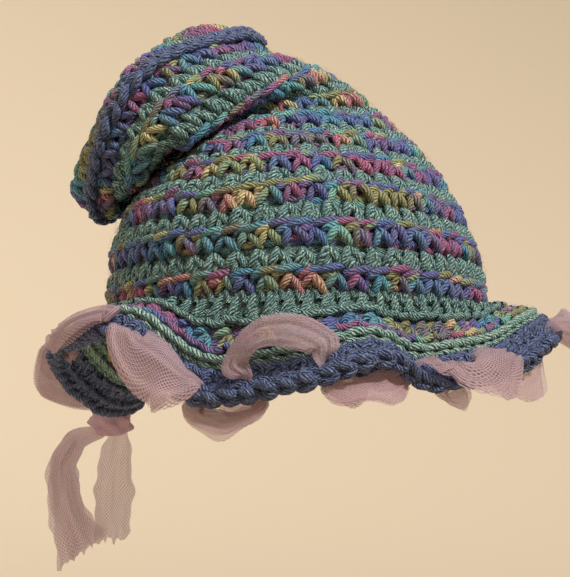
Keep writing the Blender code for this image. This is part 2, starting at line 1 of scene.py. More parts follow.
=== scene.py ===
"""The looks of a crochet hat with a ruffled brim and a tulle ribbon.

Every stitch is a bent length of yarn. The stitches are laid out flat in small tables, one
stitch wide and one round high, and are then worked round the hat's own surfaces: the crown
that flops over, the round top, the ridge around it, and the brim. The tulle is a net that
is folded and pleated along the route by which it is woven through the brim's border.

Lengths are in metres. The face side is +Y, the side that flops over is -X, and +Z is up.
"""

import json
import logging
import math
from dataclasses import dataclass, field
from enum import Enum

import bpy
import numpy as np
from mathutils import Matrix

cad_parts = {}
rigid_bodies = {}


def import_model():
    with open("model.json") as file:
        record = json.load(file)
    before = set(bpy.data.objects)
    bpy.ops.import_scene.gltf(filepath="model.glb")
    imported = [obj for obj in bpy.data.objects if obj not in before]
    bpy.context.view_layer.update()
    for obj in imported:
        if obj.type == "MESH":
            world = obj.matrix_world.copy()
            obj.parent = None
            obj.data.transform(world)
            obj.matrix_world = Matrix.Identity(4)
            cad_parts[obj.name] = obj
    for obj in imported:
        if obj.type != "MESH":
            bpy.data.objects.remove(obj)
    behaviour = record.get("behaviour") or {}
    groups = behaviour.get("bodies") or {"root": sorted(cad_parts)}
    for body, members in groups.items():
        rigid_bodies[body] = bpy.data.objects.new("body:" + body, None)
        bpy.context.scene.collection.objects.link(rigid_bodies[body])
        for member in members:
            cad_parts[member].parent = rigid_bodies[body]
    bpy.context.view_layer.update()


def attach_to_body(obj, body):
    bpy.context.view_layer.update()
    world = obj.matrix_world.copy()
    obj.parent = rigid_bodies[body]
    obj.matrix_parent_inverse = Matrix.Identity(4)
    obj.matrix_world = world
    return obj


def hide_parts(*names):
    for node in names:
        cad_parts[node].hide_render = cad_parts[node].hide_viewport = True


LOG = logging.getLogger("crochet_hat")

Table = tuple[tuple[float, ...], ...]

# How many points stand for a smooth curve while its length is measured.
CURVE_STEPS = 200

# Eight guide lines climb the crown. Each row: azimuth in degrees, the points from the
# band to the crease, and the points from there to the edge of the top. A point holds
# shares of half the breadth, half the depth and the height. Azimuth 0 is the right.
CROWN_GUIDES = (
    (0,
     ((1.00, 0.00, 0.00), (0.99, 0.00, 0.12), (0.94, 0.00, 0.23), (0.87, 0.00, 0.345),
      (0.765, 0.00, 0.47), (0.63, 0.00, 0.58), (0.48, 0.00, 0.675)),
     ((0.315, 0.00, 0.775), (0.15, 0.00, 0.845), (-0.02, 0.00, 0.89), (-0.165, 0.00, 0.925),
      (-0.275, 0.00, 0.975))),
    (45,
     ((0.705, 0.705, 0.00), (0.70, 0.70, 0.12), (0.65, 0.66, 0.245), (0.56, 0.595, 0.375),
      (0.445, 0.52, 0.49), (0.305, 0.44, 0.595), (0.165, 0.37, 0.675)),
     ((0.06, 0.36, 0.72), (-0.03, 0.40, 0.765), (-0.11, 0.43, 0.82), (-0.175, 0.39, 0.875),
      (-0.27, 0.345, 0.935))),
    (90,
     ((0.00, 1.00, 0.00), (0.00, 1.00, 0.13), (-0.025, 0.96, 0.265), (-0.07, 0.865, 0.39),
      (-0.13, 0.76, 0.475), (-0.19, 0.62, 0.55), (-0.25, 0.485, 0.615)),
     ((-0.275, 0.43, 0.665), (-0.335, 0.46, 0.69), (-0.39, 0.545, 0.65), (-0.43, 0.61, 0.62),
      (-0.45, 0.60, 0.67), (-0.475, 0.525, 0.715), (-0.53, 0.48, 0.76))),
    (135,
     ((-0.705, 0.705, -0.015), (-0.705, 0.705, 0.13), (-0.68, 0.675, 0.265),
      (-0.62, 0.60, 0.37), (-0.535, 0.505, 0.465), (-0.45, 0.40, 0.545), (-0.395, 0.305, 0.605)),
     ((-0.415, 0.24, 0.66), (-0.51, 0.265, 0.675), (-0.62, 0.325, 0.62), (-0.705, 0.38, 0.54),
      (-0.76, 0.38, 0.475), (-0.805, 0.355, 0.465), (-0.86, 0.33, 0.505))),
    (180,
     ((-1.01, 0.00, -0.025), (-1.00, 0.00, 0.13), (-0.965, 0.00, 0.265), (-0.88, 0.00, 0.37),
      (-0.75, 0.00, 0.465), (-0.595, 0.00, 0.53), (-0.465, 0.00, 0.58)),
     ((-0.395, 0.00, 0.63), (-0.45, 0.00, 0.665), (-0.55, 0.00, 0.635), (-0.655, 0.00, 0.59),
      (-0.795, 0.00, 0.53), (-0.915, 0.00, 0.455), (-0.985, 0.00, 0.375), (-1.01, 0.00, 0.345),
      (-1.06, 0.00, 0.36))),
    (225,
     ((-0.705, -0.705, -0.015), (-0.705, -0.705, 0.13), (-0.685, -0.685, 0.255),
      (-0.645, -0.625, 0.365), (-0.57, -0.535, 0.455), (-0.475, -0.42, 0.535),
      (-0.43, -0.36, 0.575)),
     ((-0.44, -0.295, 0.63), (-0.525, -0.325, 0.645), (-0.64, -0.38, 0.59), (-0.74, -0.42, 0.50),
      (-0.815, -0.425, 0.425), (-0.91, -0.405, 0.41), (-0.985, -0.36, 0.43),
      (-1.035, -0.325, 0.475))),
    (270,
     ((0.00, -1.00, 0.00), (0.00, -1.00, 0.13), (-0.035, -0.96, 0.265), (-0.105, -0.865, 0.39),
      (-0.20, -0.735, 0.475), (-0.31, -0.59, 0.545), (-0.345, -0.455, 0.595)),
     ((-0.405, -0.41, 0.645), (-0.475, -0.485, 0.61), (-0.52, -0.59, 0.545), (-0.60, -0.63, 0.58),
      (-0.71, -0.59, 0.655), (-0.815, -0.485, 0.735))),
    (315,
     ((0.705, -0.705, 0.00), (0.70, -0.70, 0.12), (0.65, -0.66, 0.245), (0.56, -0.59, 0.37),
      (0.43, -0.51, 0.485), (0.29, -0.435, 0.58), (0.14, -0.37, 0.65), (0.06, -0.285, 0.70)),
     ((-0.025, -0.305, 0.735), (-0.085, -0.40, 0.73), (-0.155, -0.455, 0.75),
      (-0.285, -0.45, 0.805), (-0.395, -0.40, 0.845), (-0.475, -0.325, 0.89))),
)

# Pouches of the soft top, which sags past its edge at both ends. Each row: azimuth in
# degrees, and as shares of the dome's height, how much further the top swells there and
# how far it spreads outward.
TOP_POUCHES = (
    (0, 0.55, 0.05), (30, 0.40, 0.00), (70, 0.00, 0.00), (110, 0.00, 0.10), (150, 0.20, 0.45),
    (180, 0.25, 0.75), (208, 0.10, 0.60), (230, 0.00, 0.20), (250, 0.00, 0.00), (300, 0.15, 0.00),
    (330, 0.40, 0.00),
)

# Folds of the ruffle. Each row: azimuth in degrees; how far the edge stands out and how
# far it hangs, as shares of the brim's width; and the flare, which is above nothing where
# the fabric stands out at the band and droops at the edge, and below nothing where it
# hangs first and flares at the edge.
BRIM_FOLDS = (
    (5, 0.77, 0.28, 1.3), (22, 0.55, 0.68, -0.3), (42, 0.80, 0.38, 0.2), (64, 0.50, 0.78, -0.6),
    (86, 0.78, 0.40, 0.2), (108, 0.50, 0.78, -0.6), (128, 0.70, 0.62, 0.0), (142, 0.48, 0.97, -0.6),
    (155, 0.38, 1.03, -0.8), (167, 0.34, 0.98, -0.8), (180, 0.52, 0.75, -0.2), (196, 0.62, 0.43, 0.4),
    (209, 0.58, 0.38, 0.5), (222, 0.66, 0.36, 0.5), (230, 0.62, 0.42, 0.2), (239, 0.50, 0.84, -0.4),
    (250, 0.42, 1.02, -0.9), (262, 0.50, 0.97, -0.9), (277, 0.66, 0.82, -0.9), (289, 0.66, 0.69, -0.8),
    (299, 0.48, 0.88, -0.8), (307, 0.56, 0.86, -0.8), (315, 0.54, 0.83, -0.6), (325, 0.58, 0.76, -0.5),
    (335, 0.64, 0.62, -0.3), (345, 0.73, 0.44, 0.5), (354, 0.77, 0.32, 1.2),
)

# Stretches of the ribbon. Each row: azimuth in degrees of the eyelet where it starts; +1 over
# the border or -1 under it; and the places that it passes on its way to the next eyelet. A
# place holds the azimuth, the share of the brim's width, and in millimetres how far the
# ribbon puffs off the fabric and how wide it opens.
RIBBON_STRETCHES = (
    (8, -1, ((15, 0.98, 3, 16),)), (22, 1, ((30, 0.74, 6, 20),)), (38, -1, ((45, 0.98, 3, 18),)),
    (52, 1, ((60, 0.74, 6, 20),)), (68, -1, ((75.5, 0.98, 3, 18),)), (83, 1, ((90.5, 0.74, 6, 20),)),
    (98, -1, ((105.5, 0.98, 3, 18),)), (113, 1, ((120.5, 0.74, 6, 20),)),
    (128, -1, ((133, 0.96, 3, 14),)), (138, 1, ((143, 0.80, 5, 14),)),
    (149, 1, ((156, 0.92, 2, 13), (167, 0.95, 3, 17), (178, 0.97, 4, 19), (187, 0.96, 3, 17))),
    (193, -1, ((196.2, 0.86, 1, 8),)),
    (199.5, 1, ((205, 0.94, 1, 16), (211, 0.92, 1, 18), (218, 0.88, 1, 20), (226, 0.80, 1, 17))),
    (224.5, -1, ((227.7, 0.86, 1, 8),)),
    (231, 1, ((233, 1.02, 3, 22), (237, 0.99, 4, 23), (241.5, 0.97, 4, 23), (245, 0.94, 3, 20))),
    (248, -1, ((246, 0.96, 2, 8), (249, 0.98, 3, 9), (253, 1.00, 4, 10), (257.5, 0.99, 3, 9),
               (260.5, 0.97, 2, 8))),
    (260, 1, ((257.2, 0.71, 5, 15), (259.5, 0.52, 7, 16), (266, 0.44, 8, 17), (272.5, 0.55, 8, 18),
              (276.6, 0.75, 6, 16))),
    (275.5, -1, ((277, 0.96, 2, 12), (281, 0.98, 3, 13), (287, 0.98, 4, 15), (293, 0.95, 3, 14))),
    (296, 1, ((301.5, 0.90, 3, 14),)),
    (304.5, -1, ((304.8, 0.94, 2, 8), (307.2, 0.96, 3, 9), (309.8, 0.94, 2, 8))),
    (310, 1, ((308.3, 1.00, 3, 22), (311, 1.05, 4, 25), (316, 1.01, 4, 23), (321.5, 0.94, 4, 17))),
    (327, -1, ((328, 0.97, 2, 12), (332, 0.99, 3, 15), (338.5, 1.00, 3, 16), (346, 1.00, 3, 14))),
    (350, 1, ((354, 0.94, 4, 12), (360, 0.94, 5, 14), (365, 0.93, 4, 12))),
)

# Tails, from the knot down. Each row: shares of the tail's length to the left, to the
# back and down, and the width as a share of the full width.
LONG_TAIL_ROWS = (
    (0.00, 0.00, 0.00, 0.26), (0.14, 0.02, 0.03, 0.44), (0.26, 0.02, 0.11, 0.60),
    (0.33, 0.00, 0.24, 0.68), (0.33, -0.02, 0.42, 0.76), (0.30, 0.00, 0.62, 0.86),
    (0.23, 0.03, 0.82, 1.04), (0.15, 0.05, 1.00, 1.28),
)
SHORT_TAIL_ROWS = (
    (0.00, 0.00, 0.00, 0.45), (0.02, 0.03, 0.14, 0.68), (0.05, 0.05, 0.32, 0.86),
    (0.06, 0.05, 0.50, 0.92), (0.07, 0.03, 0.68, 0.90), (0.08, 0.03, 0.84, 0.86),
    (0.09, 0.04, 1.00, 0.84),
)

# Yarn laid out for one stitch. Each row of a strand: how far across the stitch and how far
# up the round, as shares of its width and height, how far out from the middle of the
# fabric in yarn diameters, and how thick as a share of the yarn.
PLAIN_STITCH = (
    ((0.00, -0.04, 0.00, 0.60), (0.14, 0.24, 0.42, 1.05),
     (0.28, 0.50, 0.52, 1.15), (0.46, 0.90, 0.05, 0.60)),
    ((0.42, 0.86, 0.00, 0.55), (0.58, 0.66, 0.34, 0.92),
     (0.76, 0.38, 0.38, 0.95), (0.96, 0.08, 0.05, 0.55)),
    ((0.40, -0.16, 0.00, 0.60), (0.47, 0.10, 0.42, 0.95), (0.56, 0.42, 0.20, 0.80)),
    ((0.70, -0.16, 0.00, 0.55), (0.72, 0.06, 0.34, 0.85), (0.82, 0.26, 0.10, 0.70)),
    ((-0.06, 0.56, -0.30, 0.80), (0.50, 0.46, -0.05, 0.95), (1.06, 0.56, -0.30, 0.80)),
)
DYED_STITCH = (
    ((-0.14, 0.60, 0.05, 0.60), (0.06, 0.74, 0.48, 0.98),
     (0.30, 0.84, 0.50, 1.02), (0.52, 0.82, 0.05, 0.60)),
    ((0.46, 0.80, 0.10, 0.60), (0.36, 0.56, 0.44, 0.95),
     (0.22, 0.28, 0.46, 0.98), (0.04, -0.04, 0.00, 0.55)),
    ((0.50, 0.76, 0.05, 0.60), (0.64, 0.54, 0.52, 1.02),
     (0.78, 0.30, 0.54, 1.05), (0.94, -0.02, 0.00, 0.55)),
    ((0.98, 0.64, -0.15, 0.60), (0.88, 0.44, 0.12, 0.80), (0.70, 0.10, -0.10, 0.60)),
    ((-0.06, 0.36, -0.45, 0.80), (0.50, 0.22, -0.25, 0.90), (1.06, 0.36, -0.45, 0.80)),
)
FRONT_LOOP = (
    ((-0.12, 0.80, 0.15, 0.70), (0.14, 0.85, 0.60, 0.86),
     (0.50, 0.91, 0.72, 0.94), (0.86, 0.97, 0.60, 0.88),
     (1.16, 1.02, 0.10, 0.70)),
)
POST_STITCH = (
    ((0.16, 0.00, 0.05, 0.55), (0.20, 0.30, 0.52, 0.88),
     (0.30, 0.64, 0.56, 0.90), (0.38, 1.02, 0.05, 0.55)),
    ((0.40, 0.02, 0.00, 0.50), (0.38, 0.32, 0.40, 0.74),
     (0.48, 0.66, 0.40, 0.72), (0.54, 1.00, 0.00, 0.50)),
    ((0.96, 0.66, -0.30, 0.55), (0.86, 0.84, 0.10, 0.72), (0.66, 1.04, -0.10, 0.55)),
    ((-0.06, 0.20, -0.50, 0.80), (0.50, 0.12, -0.35, 0.85), (1.06, 0.20, -0.50, 0.80)),
)
TWISTED_CORD = (
    ((-0.14, 0.52, 0.60, 0.85), (0.50, 0.62, 0.98, 1.05), (1.14, 0.56, 0.60, 0.85)),
    ((-0.10, 0.16, 0.10, 0.60), (0.30, 0.06, 0.40, 0.95), (0.72, 0.14, 0.10, 0.60)),
)
CHAIN_EDGE = (
    ((-0.25, 0.10, 0.05, 0.60), (0.10, 0.18, 0.50, 1.00),
     (0.55, 0.34, 0.60, 1.05), (0.98, 0.50, 0.20, 0.60)),
    ((-0.25, 0.92, 0.05, 0.60), (0.10, 0.84, 0.50, 1.00),
     (0.55, 0.68, 0.60, 1.05), (0.98, 0.50, 0.20, 0.60)),
)
RIDGE_CHAIN = (
    ((-0.36, 0.24, 0.00, 0.50), (0.02, 0.24, 0.34, 0.84),
     (0.50, 0.34, 0.42, 0.90), (1.00, 0.52, 0.10, 0.50)),
    ((-0.36, 0.80, 0.00, 0.50), (0.02, 0.80, 0.34, 0.84),
     (0.50, 0.70, 0.42, 0.90), (1.00, 0.52, 0.10, 0.50)),
)


class Stitch(Enum):
    """The stitches that the hat is worked in, each by its table of strands."""

    PLAIN = PLAIN_STITCH
    DYED = DYED_STITCH
    LOOP = FRONT_LOOP
    POST = POST_STITCH
    CORD = TWISTED_CORD
    CHAIN = CHAIN_EDGE
    RIDGE = RIDGE_CHAIN


class Face(Enum):
    """The face of the fabric that a stitch stands on."""

    OUTSIDE = 1
    INSIDE = -1


def linear(colour: str) -> tuple[float, float, float, float]:
    """The linear colour of an sRGB hex value.

    Args:
        colour: six hex digits.

    Returns:
        Red, green, blue and an alpha of one.
    """
    shares = [int(colour[place : place + 2], 16) / 255 for place in (0, 2, 4)]
    values = [
        share / 12.92 if share <= 0.04045 else ((share + 0.055) / 1.055) ** 2.4 for share in shares
    ]
    return (values[0], values[1], values[2], 1.0)


def add_node(
    tree: bpy.types.NodeTree,
    kind: str,
    settings: dict[str | int, object] | None = None,
    links: dict[str | int, bpy.types.NodeSocket] | None = None,
) -> bpy.types.Node:
    """Adds a node with its settings and links.

    Args:
        tree: the node tree that takes it.
        kind: the node's type.
        settings: values by the name of a property, or by the name or number of an input. A
            colour ramp's stops are under "stops": places from 0 to 1 with sRGB hex colours.
        links: sockets of other nodes by the name or number of the input that they feed.

    Returns:
        The new node.
    """
    made = tree.nodes.new(kind)
    for key, value in (settings or {}).items():
        if key == "stops":
            elements = made.color_ramp.elements
            while len(elements) < len(value):
                elements.new(0.5)
            for element, (place, colour) in zip(elements, value):
                element.position = place
                element.color = linear(colour)
        elif isinstance(key, str) and hasattr(made, key):
            setattr(made, key, value)
        else:
            made.inputs[key].default_value = value
    for key, socket in (links or {}).items():
        tree.links.new(socket, made.inputs[key])
    return made


def new_material(name: str) -> tuple[bpy.types.Material, bpy.types.NodeTree, bpy.types.Node]:
    """A material with its node tree and its Principled shader.

    Args:
        name: the material's name.

    Returns:
        The material, its tree and its shader node.
    """
    made = bpy.data.materials.new(name)
    made.use_nodes = True
    tree = made.node_tree
    return made, tree, tree.nodes["Principled BSDF"]


def unit(vectors: np.ndarray) -> np.ndarray:
    """Each vector at length one."""
    return vectors / np.maximum(np.linalg.norm(vectors, axis=-1, keepdims=True), 1e-12)


def lengths_to(points: np.ndarray) -> np.ndarray:
    """The length of a path from its first point to each of its points."""
    return np.concatenate([[0], np.cumsum(np.linalg.norm(np.diff(points, axis=0), axis=1))])


def path_at(points: np.ndarray, lengths: np.ndarray, wanted: np.ndarray) -> np.ndarray:
    """Points along a path of straight lines.

    Args:
        points: the path's points.
        lengths: the length of the path up to each of them.
        wanted: the lengths to read at.

    Returns:
        A point for each length.
    """
    return np.stack([np.interp(wanted, lengths, values) for values in points.T], axis=1)


def closed_faces(rows: int, columns: int) -> np.ndarray:
    """The faces of a grid of points whose last column joins the first.

    Args:
        rows: how many rows of points there are.
        columns: how many points a row has.

    Returns:
        Four point numbers for each face, by row and column.
    """
    numbers = np.arange(rows * columns).reshape(rows, columns)
    after = np.roll(np.arange(columns), -1)
    return np.stack([numbers[:-1], numbers[:-1][:, after], numbers[1:][:, after], numbers[1:]], axis=-1)


def smooth(knots: np.ndarray, values: np.ndarray, at: np.ndarray) -> np.ndarray:
    """A natural cubic spline through rows of values.

    Args:
        knots: where each row of values holds.
        values: the rows.
        at: the places to read.

    Returns:
        A row for each place.
    """
    knots, values, at = (np.asarray(item, float) for item in (knots, values, at))
    spans = np.diff(knots)
    slopes = np.diff(values, axis=0) / spans[:, None]
    count = len(knots)
    matrix = np.eye(count)
    bends = np.zeros_like(values)
    for row in range(1, count - 1):
        matrix[row, row - 1 : row + 2] = spans[row - 1], 2 * (spans[row - 1] + spans[row]), spans[row]
        bends[row] = 6 * (slopes[row] - slopes[row - 1])
    bends = np.linalg.solve(matrix, bends)
    left = np.clip(np.searchsorted(knots, at, side="right") - 1, 0, count - 2)
    span = spans[left][:, None]
    ahead = (at - knots[left])[:, None] / span
    behind = 1 - ahead
    bend = (behind**3 - behind) * bends[left] + (ahead**3 - ahead) * bends[left + 1]
    return behind * values[left] + ahead * values[left + 1] + bend * span**2 / 6


def around(azimuths: list[float], values: list[object], at: np.ndarray) -> np.ndarray:
    """A closed smooth curve through rows of values given by azimuth.

    Args:
        azimuths: the azimuth of each row in degrees.
        values: the rows.
        at: the azimuths to read.

    Returns:
        A row for each azimuth.
    """
    places, rows = np.asarray(azimuths, float), np.asarray(values, float)
    turns = np.concatenate([places - 360, places, places + 360])
    return smooth(turns, np.concatenate([rows] * 3), np.asarray(at, float) % 360)


def along(points: np.ndarray, shares: np.ndarray) -> np.ndarray:
    """Points at shares of the length of a smooth curve.

    Args:
        points: the points that the curve passes through.
        shares: shares of its length.

    Returns:
        A point for each share.
    """
    knots = lengths_to(points)
    fine = smooth(knots, points, np.linspace(0, knots[-1], CURVE_STEPS))
    lengths = lengths_to(fine)
    return path_at(fine, lengths, np.asarray(shares) * lengths[-1])


class Sheet:
    """The middle surface of a piece of fabric that closes around the hat.

    A place on it is a turn, from 0 to 1 around the hat in equal lengths of fabric, and a
    height in the sheet's own units, with an offset from the middle of the fabric.
    """

    def __init__(self, points: np.ndarray, heights: np.ndarray) -> None:
        """Lays the grid out in equal lengths of fabric.

        Args:
            points: a grid of points, row by height and column by azimuth.
            heights: the height of each row.
        """
        rows = []
        columns = points.shape[1]
        for ring in points:
            closed = np.concatenate([ring, ring[:1]])
            lengths = lengths_to(closed)
            rows.append(path_at(closed, lengths, np.arange(columns) / columns * lengths[-1]))
        self.points = np.array(rows)
        self.heights = np.asarray(heights, float)
        turn = np.roll(self.points, -1, axis=1) - np.roll(self.points, 1, axis=1)
        climb = np.gradient(self.points, axis=0)
        self.normals = unit(np.cross(turn, climb))

    def read(self, grid: np.ndarray, turns: np.ndarray, heights: np.ndarray) -> np.ndarray:
        """Reads a grid between its points.

        Args:
            grid: values by row and column.
            turns: turns around the hat.
            heights: heights in the sheet's units.

        Returns:
            The values at those places, in the shape of turns.
        """
        rows, columns = grid.shape[:2]
        lowest, highest = self.heights[0], self.heights[-1]
        place = np.interp(heights, self.heights, np.arange(rows))
        # past its first and last rows the fabric goes straight on
        extra = np.where(heights > highest, heights - highest, 0)
        extra = extra + np.where(heights < lowest, heights - lowest, 0)
        low = np.clip(np.floor(place).astype(int), 0, rows - 2)
        rise = (place - low + extra / ((highest - lowest) / (rows - 1)))[..., None]
        across = (turns % 1) * columns
        left = np.floor(across).astype(int) % columns
        right = (left + 1) % columns
        share = (across - np.floor(across))[..., None]
        lower = grid[low, left] * (1 - share) + grid[low, right] * share
        upper = grid[low + 1, left] * (1 - share) + grid[low + 1, right] * share
        return lower * (1 - rise) + upper * rise

    def place(
        self, turns: np.ndarray, heights: np.ndarray, offsets: np.ndarray
    ) -> tuple[np.ndarray, np.ndarray]:
        """Points off the fabric's middle, with the fabric's normals there.

        Args:
            turns: turns around the hat.
            heights: heights in the sheet's units.
            offsets: distances from the middle of the fabric.

        Returns:
            The points and the normals.
        """
        inside = np.clip(heights, self.heights[0], self.heights[-1])
        normals = unit(self.read(self.normals, turns, inside))
        return self.read(self.points, turns, heights) + normals * offsets[..., None], normals

    def girth(self, height: float, count: int = 240) -> float:
        """The length of the fabric around the hat.

        Args:
            height: the height where it is measured.
            count: how many points stand for the round.

        Returns:
            The length of the round.
        """
        ring, _ = self.place(np.arange(count) / count, np.full(count, height), np.zeros(count))
        return float(np.linalg.norm(np.roll(ring, -1, axis=0) - ring, axis=1).sum())


@dataclass(frozen=True)
class HatForm:
    """The hat's form: the surfaces that the yarn is worked on, in the sizes of the real hat.

    The sizes are those of the frame's solids. A round is counted from the band upward on the
    crown, and from the edge inward on the round top.
    """

    breadth: float = 0.168
    depth: float = 0.190
    height: float = 0.129
    dome: float = 0.015
    fabric: float = 0.005
    brim_width: float = 0.042
    eyelet_width: float = 0.0078
    eyelet_to_edge: float = 0.0036
    flare: float = 0.65
    ridge_diameter: float = 0.0056
    ridge_angles: tuple[float, float] = (-105, 110)
    edge_inset: float = 0.0032
    edge_roundness: float = 0.35
    rounds: int = 19
    crease_round: int = 11
    top_rounds: int = 5
    top_closed: float = 0.985
    columns: int = 240

    @property
    def eyelet_middle(self) -> float:
        """The middle of the eyelets as a share of the brim's width."""
        return 1 - (self.eyelet_to_edge + self.eyelet_width / 2) / self.brim_width

    def azimuths(self) -> np.ndarray:
        """The azimuths of the fine grid's columns."""
        return np.arange(self.columns) * 360 / self.columns

    def crown_points(self, azimuths: np.ndarray, rounds: np.ndarray) -> np.ndarray:
        """The middle of the crown's fabric.

        Args:
            azimuths: azimuths in degrees.
            rounds: numbers of rounds above the band.

        Returns:
            A grid of points, row by round and column by azimuth.
        """
        scale = np.array([self.breadth / 2, self.depth / 2, self.height])
        rounds = np.asarray(rounds, float)
        guides = []
        for _, below, above in CROWN_GUIDES:
            points = np.array(below + above) * scale
            knots = lengths_to(points)
            crease = knots[len(below) - 1]
            lower = rounds / self.crease_round * crease
            share = (rounds - self.crease_round) / (self.rounds - self.crease_round)
            upper = crease + share * (knots[-1] - crease)
            lengths = np.where(rounds <= self.crease_round, lower, upper)
            guides.append(along(points, lengths / knots[-1]))
        places = [azimuth for azimuth, _, _ in CROWN_GUIDES]
        return np.array([around(places, list(row), azimuths) for row in zip(*guides)])

    def band_directions(self, azimuths: np.ndarray) -> np.ndarray:
        """The level directions that point out from the band.

        Args:
            azimuths: azimuths in degrees.

        Returns:
            A direction for each azimuth.
        """
        turn = self.crown_points(azimuths + 1, [0])[0] - self.crown_points(azimuths - 1, [0])[0]
        climb = self.crown_points(azimuths, [0.1])[0] - self.crown_points(azimuths, [0])[0]
        return unit(np.cross(turn, climb) * np.array([1, 1, 0]))

    def brim_points(self, azimuths: np.ndarray, shares: np.ndarray) -> np.ndarray:
        """The middle of the brim's fabric.

        Args:
            azimuths: azimuths in degrees.
            shares: shares of the brim's width, one for each azimuth.

        Returns:
            A point for each pair.
        """
        azimuths, shares = np.asarray(azimuths, float), np.asarray(shares, float)
        folds = around([row[0] for row in BRIM_FOLDS], [row[1:] for row in BRIM_FOLDS], azimuths)
        bend = self.flare * folds[:, 2] * shares * (1 - shares)
        outward = folds[:, 0] * (shares + bend)
        hang = folds[:, 1] * (shares - bend)
        move = outward[:, None] * self.band_directions(azimuths) - hang[:, None] * np.array([0, 0, 1])
        return self.crown_points(azimuths, [0])[0] + move * self.brim_width

    def brim_place(
        self, azimuths: np.ndarray, shares: np.ndarray, offsets: np.ndarray
    ) -> np.ndarray:
        """Points that stand off the middle of the brim's fabric.

        Args:
            azimuths: azimuths in degrees.
            shares: shares of the brim's width.
            offsets: distances over the brim's upper face.

        Returns:
            A point for each place.
        """
        turn = self.brim_points(azimuths + 0.5, shares) - self.brim_points(azimuths - 0.5, shares)
        down = self.brim_points(azimuths, shares + 1e-3) - self.brim_points(azimuths, shares - 1e-3)
        normals = unit(np.cross(down, turn))
        return self.brim_points(azimuths, shares) + normals * np.asarray(offsets)[:, None]

    def crown_sheet(self) -> Sheet:
        """The crown's fabric.

        Returns:
            The sheet, with heights in rounds above the band, each as high as the next.
        """
        heights = np.linspace(0, self.rounds, self.rounds * 5 + 1)
        finer = np.linspace(0, self.rounds, self.rounds * 8 + 1)
        columns = []
        for column in np.swapaxes(self.crown_points(self.azimuths(), finer), 0, 1):
            lengths = lengths_to(column)
            columns.append(path_at(column, lengths, heights / self.rounds * lengths[-1]))
        return Sheet(np.swapaxes(columns, 0, 1), heights)

    def top_sheet(self) -> Sheet:
        """The round top's fabric, a dome that swells into pouches.

        Returns:
            The sheet, with heights in rounds from its edge to its middle.
        """
        edge = self.crown_points(self.azimuths(), [self.rounds])[0]
        centre = edge.mean(axis=0)
        spokes = edge - centre
        facing = unit(np.cross(spokes, np.roll(spokes, -1, axis=0)).sum(axis=0))
        places, pouches = [row[0] for row in TOP_POUCHES], [row[1:] for row in TOP_POUCHES]
        pouches = around(places, pouches, self.azimuths())
        swells = pouches[:, :1] * facing + pouches[:, 1:] * unit(spokes)
        heights = np.linspace(0, self.top_rounds * self.top_closed, 41)
        rows = []
        for height in heights:
            share = 1 - height / self.top_rounds
            # the dome is nearly flat inside its edge, and a pouch is fullest a fifth of the way in
            lift = facing * (1 - share**5) + swells * 12 * share**4 * (1 - share)
            rows.append(centre + spokes * share + facing * self.fabric / 2 + self.dome * lift)
        return Sheet(np.array(rows), heights)

    def ridge_sheet(self) -> Sheet:
        """The round outer face of the ridge around the top.

        Returns:
            The sheet, with heights from 0 to 1 across the ridge.
        """
        first, last = self.ridge_angles
        heights = np.linspace(0, 1, 9)
        low, edge = self.crown_points(self.azimuths(), [self.rounds - 0.1, self.rounds])
        climb = unit(edge - low)
        normals = unit(np.cross(np.roll(edge, -1, axis=0) - np.roll(edge, 1, axis=0), climb))
        middle = edge + normals * self.fabric / 2
        rows = []
        for height in heights:
            angle = math.radians(first + (last - first) * height)
            outward = math.cos(angle) * normals + math.sin(angle) * climb
            rows.append(middle + self.ridge_diameter / 2 * outward)
        return Sheet(np.array(rows), heights)

    def brim_sheet(self) -> Sheet:
        """The brim's fabric.

        Returns:
            The sheet. Its heights are shares of the brim's width below nothing, so that up on
            the sheet is up the hat.
        """
        shares = np.linspace(1, 0, 31)
        rows = [self.brim_points(self.azimuths(), np.full(self.columns, share)) for share in shares]
        return Sheet(np.array(rows), -shares)

    def edge_sheet(self) -> Sheet:
        """The rounded edge of the brim.

        Returns:
            The sheet, with heights from 0 underneath to 1 on top.
        """
        heights = np.linspace(0, 1, 7)
        whole = np.full(self.columns, 1 - self.edge_inset / self.brim_width)
        edge = self.brim_points(self.azimuths(), whole)
        down = unit(edge - self.brim_points(self.azimuths(), whole - 0.05))
        turn = np.roll(edge, -1, axis=0) - np.roll(edge, 1, axis=0)
        normals = unit(np.cross(down, turn))
        rows = []
        for height in heights:
            angle = math.pi * (height - 0.5)
            outward = math.cos(angle) * down + math.sin(angle) * normals
            rows.append(edge + self.fabric * self.edge_roundness * outward)
        return Sheet(np.array(rows), heights)


